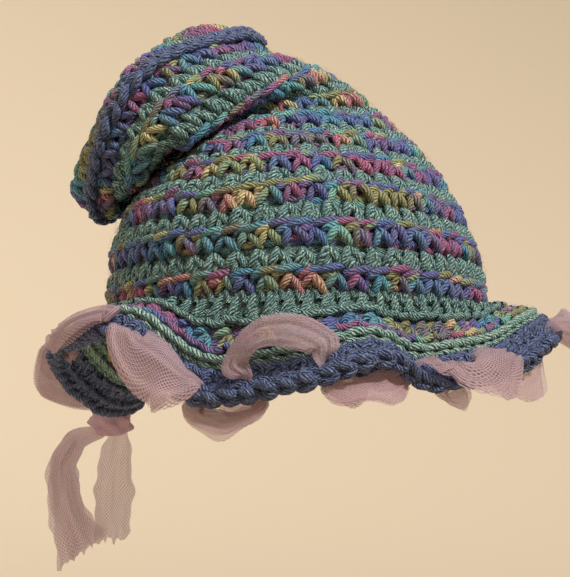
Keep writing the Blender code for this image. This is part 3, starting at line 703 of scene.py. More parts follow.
@dataclass(frozen=True)
class Yarn:
    """Worsted acrylic yarn, about 3.6 mm thick, spun, plied and dyed.

    Its plies catch the light as short slanted strokes with dark grooves between them, and besides
    their bump, that light and shade is painted into the colour. Seven are drawn around it, more
    than worsted has, which gives strokes as fine as the real ones look. A ply goes once around the
    yarn in ply_twist. The groove factor darkens the colour in the grooves as painted shade, and the
    crest factor brightens it on the plies as a painted highlight.

    Repeat is the length after which a space-dyed yarn's colours start again. A yarn without
    one has its colours in tufts. Pulled is how far the plies wander, worn is the height that
    stands for a ply where it was flattened, and tufts is how strongly the fibres show, each
    with its size in metres. Relief is the depth of it all, as a share of the diameter.
    """

    name: str
    colours: tuple[tuple[float, str], ...]
    repeat: float = 0.0
    diameter: float = 0.0036
    plies: int = 7
    ply_twist: float = 0.0130
    narrowness: float = 1.3
    painted_groove_shade: float = 0.22
    painted_crest_highlight: float = 2.00
    roughness: float = 0.46
    fuzz: float = 0.10
    pulled_size: float = 0.005
    pulled: float = 2.2
    worn_size: float = 0.004
    worn: float = 0.34
    tuft_size: float = 0.0010
    tufts: float = 0.9
    tuft_blur: float = 0.05
    dye_wander: float = 0.9
    relief: float = 0.22

    def material(self) -> bpy.types.Material:
        """The yarn's finish.

        Returns:
            The material.
        """
        made, tree, shader = new_material(self.name)
        coordinates = add_node(tree, "ShaderNodeUVMap", {"uv_map": "yarn"})
        parts = add_node(tree, "ShaderNodeSeparateXYZ", links={0: coordinates.outputs["UV"]})
        length, girth = parts.outputs["X"], parts.outputs["Y"]
        twist = add_node(
            tree, "ShaderNodeMath", {"operation": "MULTIPLY", 1: self.plies / self.ply_twist},
            {0: length},
        )
        place = add_node(tree, "ShaderNodeNewGeometry")
        # the plies wander where the yarn was pulled, over about 5 mm
        wander = add_node(
            tree, "ShaderNodeTexNoise", {"Scale": 1 / self.pulled_size, "Detail": 1.0},
            {"Vector": place.outputs["Position"]},
        )
        moved = add_node(
            tree, "ShaderNodeMath", {"operation": "MULTIPLY_ADD", 1: self.pulled},
            {0: wander.outputs["Fac"], 2: twist.outputs[0]},
        )
        turns = add_node(
            tree, "ShaderNodeMath", {"operation": "MULTIPLY_ADD", 1: float(self.plies)},
            {0: girth, 2: moved.outputs[0]},
        )
        # a ply is an arch, half a wave from groove to groove
        phase = add_node(
            tree, "ShaderNodeMath", {"operation": "MULTIPLY", 1: math.pi}, {0: turns.outputs[0]}
        )
        wave = add_node(tree, "ShaderNodeMath", {"operation": "SINE"}, {0: phase.outputs[0]})
        arch = add_node(tree, "ShaderNodeMath", {"operation": "ABSOLUTE"}, {0: wave.outputs[0]})
        round_ply = add_node(
            tree, "ShaderNodeMath", {"operation": "POWER", 1: self.narrowness}, {0: arch.outputs[0]}
        )
        # the yarn was split and flattened in places about 4 mm long, where its plies hardly show
        worn = add_node(
            tree, "ShaderNodeTexNoise", {"Scale": 1 / self.worn_size, "Detail": 1.0},
            {"Vector": place.outputs["Position"]},
        )
        flat = add_node(
            tree, "ShaderNodeMapRange",
            {"From Min": 0.38, "From Max": 0.62, "To Min": 0.55, "To Max": 1.0},
            {"Value": worn.outputs["Fac"]},
        )
        ply = add_node(
            tree, "ShaderNodeMix", {"data_type": "FLOAT", 2: self.worn},
            {0: flat.outputs["Result"], 3: round_ply.outputs[0]},
        )
        # tufts of fibre, about 1 mm apart
        fibres = add_node(
            tree, "ShaderNodeTexNoise",
            {"Scale": 1 / self.tuft_size, "Detail": 2.0, "Roughness": 0.65},
            {"Vector": place.outputs["Position"]},
        )
        colour = self._colour(tree, length, fibres.outputs["Fac"])
        relief = add_node(
            tree, "ShaderNodeMath", {"operation": "MULTIPLY_ADD", 1: self.tufts},
            {0: fibres.outputs["Fac"], 2: ply.outputs[0]},
        )
        # the relief is bumped and also painted into the colour: painted shade where it is low, in the
        # grooves and between the tufts, and a painted highlight where it is high, on the plies
        shade = add_node(
            tree, "ShaderNodeMapRange",
            {"From Min": 0.40, "From Max": 1.50, "To Min": self.painted_groove_shade, "To Max": self.painted_crest_highlight},
            {"Value": relief.outputs[0]},
        )
        shaded = add_node(
            tree, "ShaderNodeVectorMath", {"operation": "SCALE"},
            {0: colour, "Scale": shade.outputs["Result"]},
        )
        bump = add_node(
            tree, "ShaderNodeBump", {"Strength": 0.9, "Distance": self.diameter * self.relief},
            {"Height": relief.outputs[0]},
        )
        tree.links.new(shaded.outputs["Vector"], shader.inputs["Base Color"])
        tree.links.new(bump.outputs["Normal"], shader.inputs["Normal"])
        shader.inputs["Roughness"].default_value = self.roughness
        shader.inputs["Sheen Weight"].default_value = self.fuzz
        shader.inputs["Sheen Roughness"].default_value = 0.5
        shader.inputs["Specular IOR Level"].default_value = 0.5
        return made

    def _colour(
        self, tree: bpy.types.NodeTree, length: bpy.types.NodeSocket, speckle: bpy.types.NodeSocket
    ) -> bpy.types.NodeSocket:
        """The dye along the yarn.

        Args:
            tree: the material's tree.
            length: the length of yarn so far.
            speckle: fine noise from the tufts, which mixes neighbouring colours.

        Returns:
            The colour's socket.
        """
        stops = {"stops": self.colours}
        if not self.repeat:
            value = add_node(
                tree, "ShaderNodeMapRange",
                {"From Min": 0.3, "From Max": 0.7, "To Min": 0.0, "To Max": 1.0}, {"Value": speckle},
            )
            ramp = add_node(tree, "ShaderNodeValToRGB", stops, {"Fac": value.outputs["Result"]})
            return ramp.outputs["Color"]
        along_yarn = add_node(
            tree, "ShaderNodeMath", {"operation": "DIVIDE", 1: self.repeat}, {0: length}
        )
        wander = add_node(
            tree, "ShaderNodeTexNoise", {"noise_dimensions": "1D", "Scale": 1.7, "Detail": 1.0},
            {"W": along_yarn.outputs[0]},
        )
        moved = add_node(
            tree, "ShaderNodeMath", {"operation": "MULTIPLY_ADD", 1: self.dye_wander},
            {0: wander.outputs["Fac"], 2: along_yarn.outputs[0]},
        )
        blurred = add_node(
            tree, "ShaderNodeMath", {"operation": "MULTIPLY_ADD", 1: self.tuft_blur},
            {0: speckle, 2: moved.outputs[0]},
        )
        share = add_node(tree, "ShaderNodeMath", {"operation": "FRACT"}, {0: blurred.outputs[0]})
        ramp = add_node(tree, "ShaderNodeValToRGB", stops, {"Fac": share.outputs[0]})
        return ramp.outputs["Color"]


@dataclass(frozen=True)
class Tulle:
    """Nylon bobbinet, knitted and dyed a dusty pink.

    Fine round threads leave holes that the eye sees through, and folds add up to a milky
    veil. The threads of such a net are finer than a pixel. They are drawn 1.25 mm apart and
    wider than they are, so that the net shows in the render, and the veil fills each hole a
    little, as the threads that are too fine to show would. Thread tells how wide a thread is
    and softness how blurred its edge, veil is how much of the light a hole stops, and passes
    is how much a thread lets through.
    """

    name: str = "tulle"
    pitch: float = 0.00125
    thread: float = 0.26
    veil: float = 0.24
    passes: float = 0.45
    softness: float = 0.25
    angles: tuple[float, float] = (52, 128)
    colour: str = "E2C8CE"
    shadow: str = "D6AEBA"

    def material(self) -> bpy.types.Material:
        """The net's finish.

        Returns:
            The material.
        """
        made, tree, shader = new_material(self.name)
        coordinates = add_node(tree, "ShaderNodeUVMap", {"uv_map": "cloth"})
        parts = add_node(tree, "ShaderNodeSeparateXYZ", links={0: coordinates.outputs["UV"]})
        threads = []
        # two sets of threads cross at 76 degrees, the pitch apart
        for angle in self.angles:
            turn = math.radians(angle)
            first = add_node(
                tree, "ShaderNodeMath",
                {"operation": "MULTIPLY", 1: math.cos(turn) * math.pi / self.pitch},
                {0: parts.outputs["X"]},
            )
            second = add_node(
                tree, "ShaderNodeMath",
                {"operation": "MULTIPLY_ADD", 1: math.sin(turn) * math.pi / self.pitch},
                {0: parts.outputs["Y"], 2: first.outputs[0]},
            )
            wave = add_node(tree, "ShaderNodeMath", {"operation": "SINE"}, {0: second.outputs[0]})
            threads.append(
                add_node(tree, "ShaderNodeMath", {"operation": "ABSOLUTE"}, {0: wave.outputs[0]})
            )
        nearest = add_node(
            tree, "ShaderNodeMath", {"operation": "MINIMUM"},
            {0: threads[0].outputs[0], 1: threads[1].outputs[0]},
        )
        cover = add_node(
            tree, "ShaderNodeMapRange",
            {"From Min": self.thread, "From Max": self.thread + self.softness,
             "To Min": 1.0, "To Max": self.veil},
            {"Value": nearest.outputs[0]},
        )
        # the threads take the net's colour, and the veil in the holes is painted towards the shadow
        # colour, a painted shade
        tone = add_node(
            tree, "ShaderNodeValToRGB", {"stops": ((0.0, self.shadow), (1.0, self.colour))},
            {"Fac": cover.outputs["Result"]},
        )
        tree.links.new(tone.outputs["Color"], shader.inputs["Base Color"])
        shader.inputs["Roughness"].default_value = 0.6
        shader.inputs["Sheen Weight"].default_value = 0.3
        # round threads pass about half of the light on
        passed = add_node(tree, "ShaderNodeBsdfTranslucent", links={"Color": tone.outputs["Color"]})
        threads_lit = add_node(
            tree, "ShaderNodeMixShader", {0: self.passes},
            {1: shader.outputs["BSDF"], 2: passed.outputs["BSDF"]},
        )
        holes = add_node(tree, "ShaderNodeBsdfTransparent")
        net = add_node(
            tree, "ShaderNodeMixShader", links={
                0: cover.outputs["Result"], 1: holes.outputs["BSDF"], 2: threads_lit.outputs["Shader"],
            },
        )
        tree.links.new(net.outputs["Shader"], tree.nodes["Material Output"].inputs["Surface"])
        return made


@dataclass(frozen=True)
class MatteBoard:
    """Pale painted board, matte, which the hat stands out from."""

    name: str = "pale_matte_board"
    colour: str = "CFC0A9"
    roughness: float = 0.95

    def material(self) -> bpy.types.Material:
        """The board's finish.

        Returns:
            The material.
        """
        made, _, shader = new_material(self.name)
        shader.inputs["Base Color"].default_value = linear(self.colour)
        shader.inputs["Roughness"].default_value = self.roughness
        return made


# Dyed acrylic, one colour with darker and paler tufts, and the deepest painted shade in its grooves. The
# crown's, the posts' and the top's.
AQUA = Yarn(
    name="aqua_acrylic_yarn",
    colours=((0.0, "3E707C"), (0.5, "699393"), (1.0, "A4BEAC")),
    painted_groove_shade=0.05,
    painted_crest_highlight=1.98,
    roughness=0.38,
)
# The same fibre in a sage aqua, for the cord that is raised between the ruffle and the border.
CORD_AQUA = Yarn(
    name="sage_aqua_acrylic_yarn",
    colours=((0.0, "5C8A8C"), (0.5, "86AA9F"), (1.0, "AEC4AC")),
    roughness=0.40,
)
# Single fibres that have worked loose, in the yarns' colours. They show as a soft haze.
LOOSE_FIBRE = Yarn(
    name="loose_acrylic_fibre",
    colours=((0.0, "6C8C92"), (0.5, "8A93A6"), (1.0, "B2A3A6")),
    painted_groove_shade=0.9,
    painted_crest_highlight=1.2,
    fuzz=0.4,
)
# Acrylic dyed in many colours, which follow each other over 46 cm of yarn and blend at their ends.
SPACE_DYED = Yarn(
    name="space_dyed_acrylic_yarn",
    colours=(
        (0.00, "A25E88"), (0.05, "7F6090"), (0.09, "6663A0"), (0.17, "5568A6"), (0.22, "4F87AE"),
        (0.28, "5A9CAA"), (0.33, "7AB4A6"), (0.38, "96986A"), (0.44, "8A8A60"), (0.48, "807A72"),
        (0.53, "6A6F90"), (0.57, "86608C"), (0.61, "AA5C84"), (0.65, "BC8880"), (0.68, "D0C290"),
        (0.71, "8A9C74"), (0.77, "5E94A6"), (0.84, "586CA4"), (0.92, "6C6698"), (1.00, "A25E88"),
    ),
    repeat=0.46,
    narrowness=0.8,
    painted_groove_shade=0.26,
    painted_crest_highlight=1.72,
)
# A dusty denim blue, matte, its dye a little darker between the tufts, with deeper painted shade in its
# grooves.
BORDER_BLUE = Yarn(
    name="dusty_blue_acrylic_yarn",
    colours=((0.0, "3A4870"), (0.6, "505F88"), (1.0, "6E7DA0")),
    painted_groove_shade=0.16,
)
# A paler slate blue, worked tightly in slip stitches, so that it is thicker and rounder.
RIDGE_BLUE = Yarn(
    name="slate_blue_acrylic_yarn",
    colours=((0.0, "46557C"), (0.6, "5A6A94"), (1.0, "7887AB")),
    diameter=0.0042,
    narrowness=0.7,
    painted_groove_shade=0.34,
    painted_crest_highlight=1.5,
)


class YarnMesh:
    """Strands of one yarn that are gathered into one mesh of tubes."""

    def __init__(self, sides: int = 6, steps: int = 7) -> None:
        """Starts with no strand.

        Args:
            sides: corners around a strand.
            steps: rings along a strand.
        """
        self.sides = sides
        self.steps = steps
        self.vertices: list[np.ndarray] = []
        self.maps: list[np.ndarray] = []

    def add(self, paths: np.ndarray, normals: np.ndarray, radii: np.ndarray, starts: np.ndarray) -> None:
        """Adds strands.

        Args:
            paths: points by strand and step.
            normals: the fabric's normals there.
            radii: the yarn's radius there.
            starts: the length of yarn before each strand.
        """
        runs = unit(np.gradient(paths, axis=1))
        sideways = unit(np.cross(runs, normals))
        for step in range(1, paths.shape[1]):
            # each ring keeps the last one's direction, turned square to the strand
            last, run = sideways[:, step - 1], runs[:, step]
            sideways[:, step] = unit(last - (last * run).sum(-1, keepdims=True) * run)
        outward = np.cross(sideways, runs)
        angles = np.arange(self.sides + 1) / self.sides * 2 * math.pi
        rings = (
            np.cos(angles)[None, None, :, None] * sideways[:, :, None]
            + np.sin(angles)[None, None, :, None] * outward[:, :, None]
        )
        self.vertices.append((paths[:, :, None] + rings * radii[:, :, None, None])[:, :, : self.sides])
        steps = np.linalg.norm(np.diff(paths, axis=1, prepend=paths[:, :1]), axis=-1)
        lengths = np.cumsum(steps, axis=1)
        uses = np.broadcast_to((lengths + starts[:, None])[:, :, None], rings.shape[:3])
        shares = np.broadcast_to(angles / (2 * math.pi), rings.shape[:3])
        self.maps.append(np.stack([uses, shares], axis=-1))

    def build(self, name: str, material: bpy.types.Material) -> bpy.types.Object:
        """Makes the mesh.

        Args:
            name: the piece's name.
            material: the yarn's finish.

        Returns:
            The new object.
        """
        vertices = np.concatenate(self.vertices)
        maps = np.concatenate(self.maps)
        strands, steps, sides = vertices.shape[:3]
        numbers = np.arange(strands * steps * sides).reshape(strands, steps, sides)
        low, high = numbers[:, :-1], numbers[:, 1:]
        after = [(corner + 1) % sides for corner in range(sides)]
        faces = np.stack([low, low[:, :, after], high[:, :, after], high], axis=-1).reshape(-1, 4)
        left, right = maps[:, :, :-1], maps[:, :, 1:]
        corners = np.stack([left[:, :-1], right[:, :-1], right[:, 1:], left[:, 1:]], axis=-2)
        return mesh_object(
            name, vertices.reshape(-1, 3), faces, corners.reshape(-1, 2), "yarn", material
        )


def mesh_object(
    name: str,
    vertices: np.ndarray,
    faces: np.ndarray,
    corners: np.ndarray,
    layer: str,
    material: bpy.types.Material,
) -> bpy.types.Object:
    """A smooth object made of four-sided faces.

    Args:
        name: the piece's name.
        vertices: its points.
        faces: four point numbers for each face.
        corners: the map's value at each face's corners in turn.
        layer: the map's name.
        material: its finish.

    Returns:
        The new object.
    """
    mesh = bpy.data.meshes.new(name)
    mesh.vertices.add(len(vertices))
    mesh.vertices.foreach_set("co", vertices.astype(np.float32).ravel())
    mesh.loops.add(faces.size)
    mesh.loops.foreach_set("vertex_index", faces.astype(np.int32).ravel())
    mesh.polygons.add(len(faces))
    mesh.polygons.foreach_set("loop_start", np.arange(0, faces.size, 4, dtype=np.int32))
    mesh.update(calc_edges=True)
    mesh.shade_smooth()
    uvs = mesh.uv_layers.new(name=layer)
    uvs.data.foreach_set("uv", corners.astype(np.float32).ravel())
    mesh.materials.append(material)
    made = bpy.data.objects.new(name, mesh)
    bpy.context.scene.collection.objects.link(made)
    return made


@dataclass(frozen=True)
class Course:
    """One round of stitches, between two heights of a sheet.

    Width is a stitch's width along the round, sunk is how far its strands lie into the
    fabric, and yarn_used is the length of yarn in a stitch. Looseness tells how much the
    stitches differ, and spread, lean, swell and thinning how that shows: in a strand's place
    and height, its slant, how far it stands out and its thickness.
    """

    low: float
    high: float
    stitch: Stitch
    width: float = 0.0093
    face: Face = Face.OUTSIDE
    looseness: float = 1.0
    sunk: float = 0.0008
    yarn_used: float = 0.055
    spread: float = 0.05
    lean: float = 2.2
    swell: float = 2.5
    thinning: float = 1.2

    def work(
        self, sheet: Sheet, yarn: Yarn, mesh: YarnMesh, chance: np.random.Generator, used: float
    ) -> float:
        """Works the round.

        Args:
            sheet: the surface it is worked on.
            yarn: the yarn.
            mesh: the mesh that takes its strands.
            chance: the source of small differences between stitches.
            used: the length of yarn used so far.

        Returns:
            The length of yarn used now.
        """
        girth = sheet.girth((self.low + self.high) / 2)
        count = max(6, round(girth / self.width))
        rise = self.high - self.low
        shift = chance.uniform(0, 1)
        size = np.clip(girth / count / self.width, 0.6, 1.1)
        for number, table in enumerate(self.stitch.value):
            rows = np.array(table)
            knots = lengths_to(rows[:, :3])
            shape = smooth(knots, rows, np.linspace(0, knots[-1], mesh.steps))[None]
            loose, each = self.spread * self.looseness, (count, 1)
            across = shape[..., 0] + chance.normal(0, loose, each)
            across = across + (shape[..., 1] - 0.5) * chance.normal(0, self.lean * loose, each)
            up = 0.5 + (shape[..., 1] - 0.5) * (1 + chance.normal(0, loose, each))
            up = up + chance.normal(0, loose, each)
            out = shape[..., 2] * (1 + chance.normal(0, self.swell * loose, each))
            thick = shape[..., 3] * (1 + chance.normal(0, self.thinning * loose, each)) * size**0.5
            turns = (np.arange(count)[:, None] + shift + across) / count
            offsets = self.face.value * (out * yarn.diameter - self.sunk)
            paths, normals = sheet.place(turns, self.low + rise * up, offsets)
            # a stitch has at most five strands, and they share its yarn
            starts = used + np.arange(count) * self.yarn_used + number * self.yarn_used / 5
            mesh.add(paths, normals * self.face.value, thick * yarn.diameter / 2, starts)
        return used + count * self.yarn_used


@dataclass
class Worker:
    """Works courses of stitches into named pieces.

    A bar at the back of the fabric is drawn in bar_steps rows and swells by bar_height, as a
    share of the yarn's diameter. Bumps is how many bumps it has around the hat, and
    bump_height how high they are. Row_shift moves the dye along from one row to the next.
    """

    form: HatForm
    chance: np.random.Generator
    materials: dict[str, bpy.types.Material] = field(default_factory=dict)
    bar_steps: int = 3
    bar_height: float = 0.45
    bumps: int = 56
    bump_height: float = 0.25
    row_shift: float = 0.013

    def finish(self, yarn: Yarn) -> bpy.types.Material:
        """The yarn's material, made once.

        Args:
            yarn: the yarn.

        Returns:
            Its material.
        """
        if yarn.name not in self.materials:
            self.materials[yarn.name] = yarn.material()
        return self.materials[yarn.name]

    def piece(
        self, name: str, nodes: tuple[str, ...], slot: str, sheet: Sheet, yarn: Yarn,
        courses: list[Course], steps: int = 7,
    ) -> None:
        """Works some courses into one piece.

        Args:
            name: the piece's name.
            nodes: the solids that it stands for.
            slot: the record's material slot; not used.
            sheet: the surface it is worked on.
            yarn: the yarn.
            courses: the rounds.
            steps: rings along a strand.
        """
        mesh = YarnMesh(steps=steps)
        used = float(self.chance.uniform(0, 3))
        for course in courses:
            used = course.work(sheet, yarn, mesh, self.chance, used)
        attach(mesh.build(name, self.finish(yarn)), nodes)

    def backing(
        self, name: str, nodes: tuple[str, ...], slot: str, sheet: Sheet,
        bands: list[tuple[float, float, Yarn]], depth: float = 0.0, bars: int = 3,
        columns: int = 160,
    ) -> None:
        """The backs of the stitches: bars of yarn that close the fabric behind the strands.

        Args:
            name: the piece's name.
            nodes: the solids that it stands for.
            slot: the record's material slot; not used.
            sheet: the surface it is worked on.
            bands: the lowest and highest height of each band, and its yarn.
            depth: how far the bars lie off the middle of the fabric.
            bars: bars in each band.
            columns: points around the hat.
        """
        yarns = list(dict.fromkeys(yarn for _, _, yarn in bands))
        rows, looks = [], []
        for low, high, yarn in bands:
            steps = bars * self.bar_steps
            for step in range(steps):
                swell = abs(math.sin(math.pi * step / self.bar_steps))
                rows.append((low + (high - low) * step / steps, swell, yarn))
                looks.append(yarns.index(yarn))
        rows.append((bands[-1][1], 0.0, bands[-1][2]))
        turns = np.arange(columns) / columns
        wave = self.bump_height * np.sin(turns * 2 * math.pi * self.bumps)
        grid = []
        for height, swell, yarn in rows:
            offsets = depth + (swell - 0.5 + wave * swell) * yarn.diameter * self.bar_height
            points, _ = sheet.place(turns, np.full(columns, height), offsets)
            grid.append(points)
        vertices = np.array(grid)
        faces = closed_faces(len(grid), columns)
        girth = sheet.girth(bands[0][0])
        across = np.stack([turns * girth, (turns + 1 / columns) * girth], axis=-1)
        # the map is the yarn's: its length runs along a bar, and a quarter of its girth is a row
        corners = np.zeros((*faces.shape, 2))
        for row in range(faces.shape[0]):
            corners[row, :, :, 0] = across[:, [0, 1, 1, 0]] + row * self.row_shift
            corners[row, :, :, 1] = np.array([0, 0, 0.25, 0.25]) + row % 4 * 0.25
        made = mesh_object(
            name, vertices.reshape(-1, 3), faces.reshape(-1, 4), corners.reshape(-1, 2), "yarn",
            self.finish(yarns[0]),
        )
        for yarn in yarns[1:]:
            made.data.materials.append(self.finish(yarn))
        made.data.polygons.foreach_set("material_index", np.repeat(looks, columns).astype(np.int32))
        attach(made, nodes)


def attach(piece: bpy.types.Object, nodes: tuple[str, ...]) -> None:
    """Lets a piece stand for solids of the frame.

    Args:
        piece: the new piece.
        nodes: the solids.
    """
    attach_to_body(piece, "root")
    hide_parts(*nodes)
    triangles = sum(len(face.vertices) - 2 for face in piece.data.polygons)
    LOG.info("%s: %d triangles", piece.name, triangles)


@dataclass
class Fuzz:
    """Loose fibres of the yarn, which stand off the fabric and blur its outline.

    A real fibre is about 0.02 mm thick. These are thicker and fewer, so that they show. Each
    is drawn by a few points with three corners around them, because there are thousands.
    """

    worker: Worker
    length: float = 0.0048
    thickness: float = 0.00010
    root_depth: float = 0.0016
    points: int = 3
    corners: int = 3

    def build(
        self, name: str, node: str, sheet: Sheet, low: float, high: float, count: int
    ) -> None:
        """Makes the fibres of one piece of fabric.

        Args:
            name: the new piece's name.
            node: the solid that it stands for.
            sheet: the surface that the fibres stand on.
            low: the lowest height.
            high: the highest height.
            count: how many fibres there are.
        """
        chance, each = np.random.default_rng(count), (count, 1, 1)
        mesh = YarnMesh(self.corners, self.points)
        turns, heights = chance.uniform(0, 1, count), chance.uniform(low, high, count)
        roots, normals = sheet.place(turns, heights, np.full(count, self.root_depth))
        sideways = unit(chance.normal(0, 1, (count, 3)))
        sideways = unit(np.cross(sideways, normals))
        reach = self.length * chance.uniform(0.35, 1.0, each)
        rise = chance.uniform(0.15, 0.75, each)
        share = np.linspace(0, 1, self.points)[None, :, None]
        swirl = np.cross(normals, sideways)[:, None] * chance.normal(0, 0.35, each)
        # a fibre rises off the fabric, arches over and bends aside
        lift = rise * np.sin(share * 2.2) * normals[:, None]
        paths = roots[:, None] + reach * (share * sideways[:, None] + lift + swirl * share**2)
        radii = np.broadcast_to(self.thickness / 2 * (1.1 - share[..., 0]), paths.shape[:2])
        starts = chance.uniform(0, 30, count)
        mesh.add(paths, np.broadcast_to(normals[:, None], paths.shape), radii, starts)
        attach(mesh.build(name, self.worker.finish(LOOSE_FIBRE)), (node,))


def round_yarn(number: int) -> Yarn:
    """The yarn of a round: space-dyed for the first, and then aqua and space-dyed in turn."""
    return AQUA if number % 2 else SPACE_DYED


def courses_of(yarn: Yarn, numbers: range, stitch: Stitch, looseness: float = 1.0) -> list[Course]:
    """The courses among some rounds that are worked in one yarn.

    Args:
        yarn: the yarn.
        numbers: the numbers of the rounds.
        stitch: the stitch that they are worked in.
        looseness: how much their stitches differ.

    Returns:
        A course for each round in that yarn.
    """
    return [
        Course(number, number + 1, stitch, looseness=looseness)
        for number in numbers if round_yarn(number) is yarn
    ]


@dataclass
class Crown:
    """The crown, worked in rounds of space-dyed and aqua yarn in turn."""

    worker: Worker
    upper_start: int = 10
    dyed_looseness: float = 1.5
    backs_depth: float = -0.0016
    lower_fibres: int = 4200
    upper_fibres: int = 3400

    def build(self) -> None:
        """Makes the rounds, the front loops that are left as ridges, and the backs."""
        form = self.worker.form
        sheet = form.crown_sheet()
        whole = range(form.rounds)
        lower, upper = ("crown_side", "crown_shoulder"), ("crown_flop",)
        parts = (("lower", lower, whole[: self.upper_start]), ("upper", upper, whole[self.upper_start :]))
        for part, nodes, rounds in parts:
            self.worker.piece(
                f"crown_{part}_aqua_rounds", nodes, "crochet", sheet, AQUA,
                courses_of(AQUA, rounds, Stitch.PLAIN),
            )
            self.worker.piece(
                f"crown_{part}_dyed_rounds", nodes, "crochet", sheet, SPACE_DYED,
                courses_of(SPACE_DYED, rounds, Stitch.DYED, self.dyed_looseness),
            )
        self.worker.piece(
            "crown_front_loops", lower + upper, "crochet", sheet, SPACE_DYED,
            courses_of(SPACE_DYED, whole, Stitch.LOOP),
        )
        bands = [(number, number + 1, round_yarn(number)) for number in whole]
        self.worker.backing(
            "crown_backs", lower + upper, "crochet", sheet, bands, depth=self.backs_depth
        )

    def fibres(self, fuzz: Fuzz) -> None:
        """Makes the loose fibres on the crown.

        Args:
            fuzz: what makes them.
        """
        form = self.worker.form
        sheet = form.crown_sheet()
        fuzz.build(
            "crown_lower_fuzz", "crown_side", sheet, 0, self.upper_start, self.lower_fibres
        )
        fuzz.build(
            "crown_upper_fuzz", "crown_flop", sheet, self.upper_start, form.rounds, self.upper_fibres
        )


@dataclass
class RoundTop:
    """The round top and the ridge of slip stitches around it."""

    worker: Worker
    backs_depth: float = -0.0008
    ridge_stitch: float = 0.0082
    ridge_sunk: float = 0.0012
    tight: float = 0.5

    def build(self) -> None:
        """Makes the top's rounds and the ridge."""
        form = self.worker.form
        sheet = form.top_sheet()
        rounds = range(form.top_rounds)
        top = (("crown_top",), "crochet")
        for name, yarn, stitch in (("aqua", AQUA, Stitch.PLAIN), ("dyed", SPACE_DYED, Stitch.DYED)):
            courses = courses_of(yarn, rounds, stitch)
            self.worker.piece(f"top_{name}_rounds", *top, sheet, yarn, courses)
        last = form.top_rounds * form.top_closed
        self.worker.backing(
            "top_backs", *top, sheet,
            [(number, min(number + 1, last), round_yarn(number)) for number in rounds],
            depth=self.backs_depth, columns=120,
        )
        ridge, ridge_sheet = (("top_ridge",), "ridge_yarn"), form.ridge_sheet()
        slip_stitches = Course(
            0.0, 1.0, Stitch.RIDGE, self.ridge_stitch, looseness=self.tight, sunk=self.ridge_sunk
        )
        self.worker.piece(
            "ridge_of_slip_stitches", *ridge, ridge_sheet, RIDGE_BLUE, [slip_stitches], steps=10
        )
        self.worker.backing(
            "ridge_core", *ridge, ridge_sheet, [(0.0, 1.0, RIDGE_BLUE)], depth=self.backs_depth
        )


@dataclass
class Brim:
    """The ruffled brim: posts, a space-dyed round, a raised cord, and the blue border.

    Each round ends at a share of the brim's width, counted from the band.
    """

    worker: Worker
    posts_end: float = 0.22
    dyed_end: float = 0.45
    cord_end: float = 0.56
    border_end: float = 0.94
    post_width: float = 0.0075
    dyed_width: float = 0.0088
    cord_width: float = 0.0075
    cord_looseness: float = 0.5
    border_width: float = 0.0095
    chain_width: float = 0.0080
    backs_columns: int = 300
    fibre_count: int = 2200

    def build(self) -> None:
        """Makes the brim's rounds on both of its faces."""
        sheet = self.worker.form.brim_sheet()
        ruffle, border = (("brim_ruffle",), "crochet"), (("brim_border",), "border_yarn")
        posts, dyed, cord, end = -self.posts_end, -self.dyed_end, -self.cord_end, -self.border_end
        middle = -(self.cord_end + self.border_end) / 2
        pieces = (
            ("brim_posts", ruffle, AQUA, ((posts, 0.0, Stitch.POST, self.post_width),), 1.0),
            ("brim_dyed_round", ruffle, SPACE_DYED, ((dyed, posts, Stitch.DYED, self.dyed_width),), 1.0),
            ("brim_raised_cord", ruffle, CORD_AQUA, ((cord, dyed, Stitch.CORD, self.cord_width),),
             self.cord_looseness),
            ("border_rounds", border, BORDER_BLUE,
             ((middle, cord, Stitch.PLAIN, self.border_width),
              (end, middle, Stitch.PLAIN, self.border_width)), 1.0),
        )
        for name, place, yarn, rounds, looseness in pieces:
            courses = [Course(*row, face, looseness) for row in rounds for face in Face]
            self.worker.piece(name, *place, sheet, yarn, courses)
        self.worker.piece(
            "border_edge_chain", *border, self.worker.form.edge_sheet(), BORDER_BLUE,
            [Course(0.0, 1.0, Stitch.CHAIN, self.chain_width)],
        )
        self.worker.backing(
            "ruffle_backs", *ruffle, sheet,
            [(cord, dyed, AQUA), (dyed, posts, SPACE_DYED), (posts, 0.0, AQUA)],
            columns=self.backs_columns,
        )
        self.worker.backing(
            "border_backs", *border, sheet, [(-1.0, cord, BORDER_BLUE)], bars=5,
            columns=self.backs_columns,
        )

    def fibres(self, fuzz: Fuzz) -> None:
        """Makes the loose fibres on the brim.

        Args:
            fuzz: what makes them.
        """
        sheet = self.worker.form.brim_sheet()
        fuzz.build("brim_fuzz", "brim_ruffle", sheet, -self.border_end, 0, self.fibre_count)


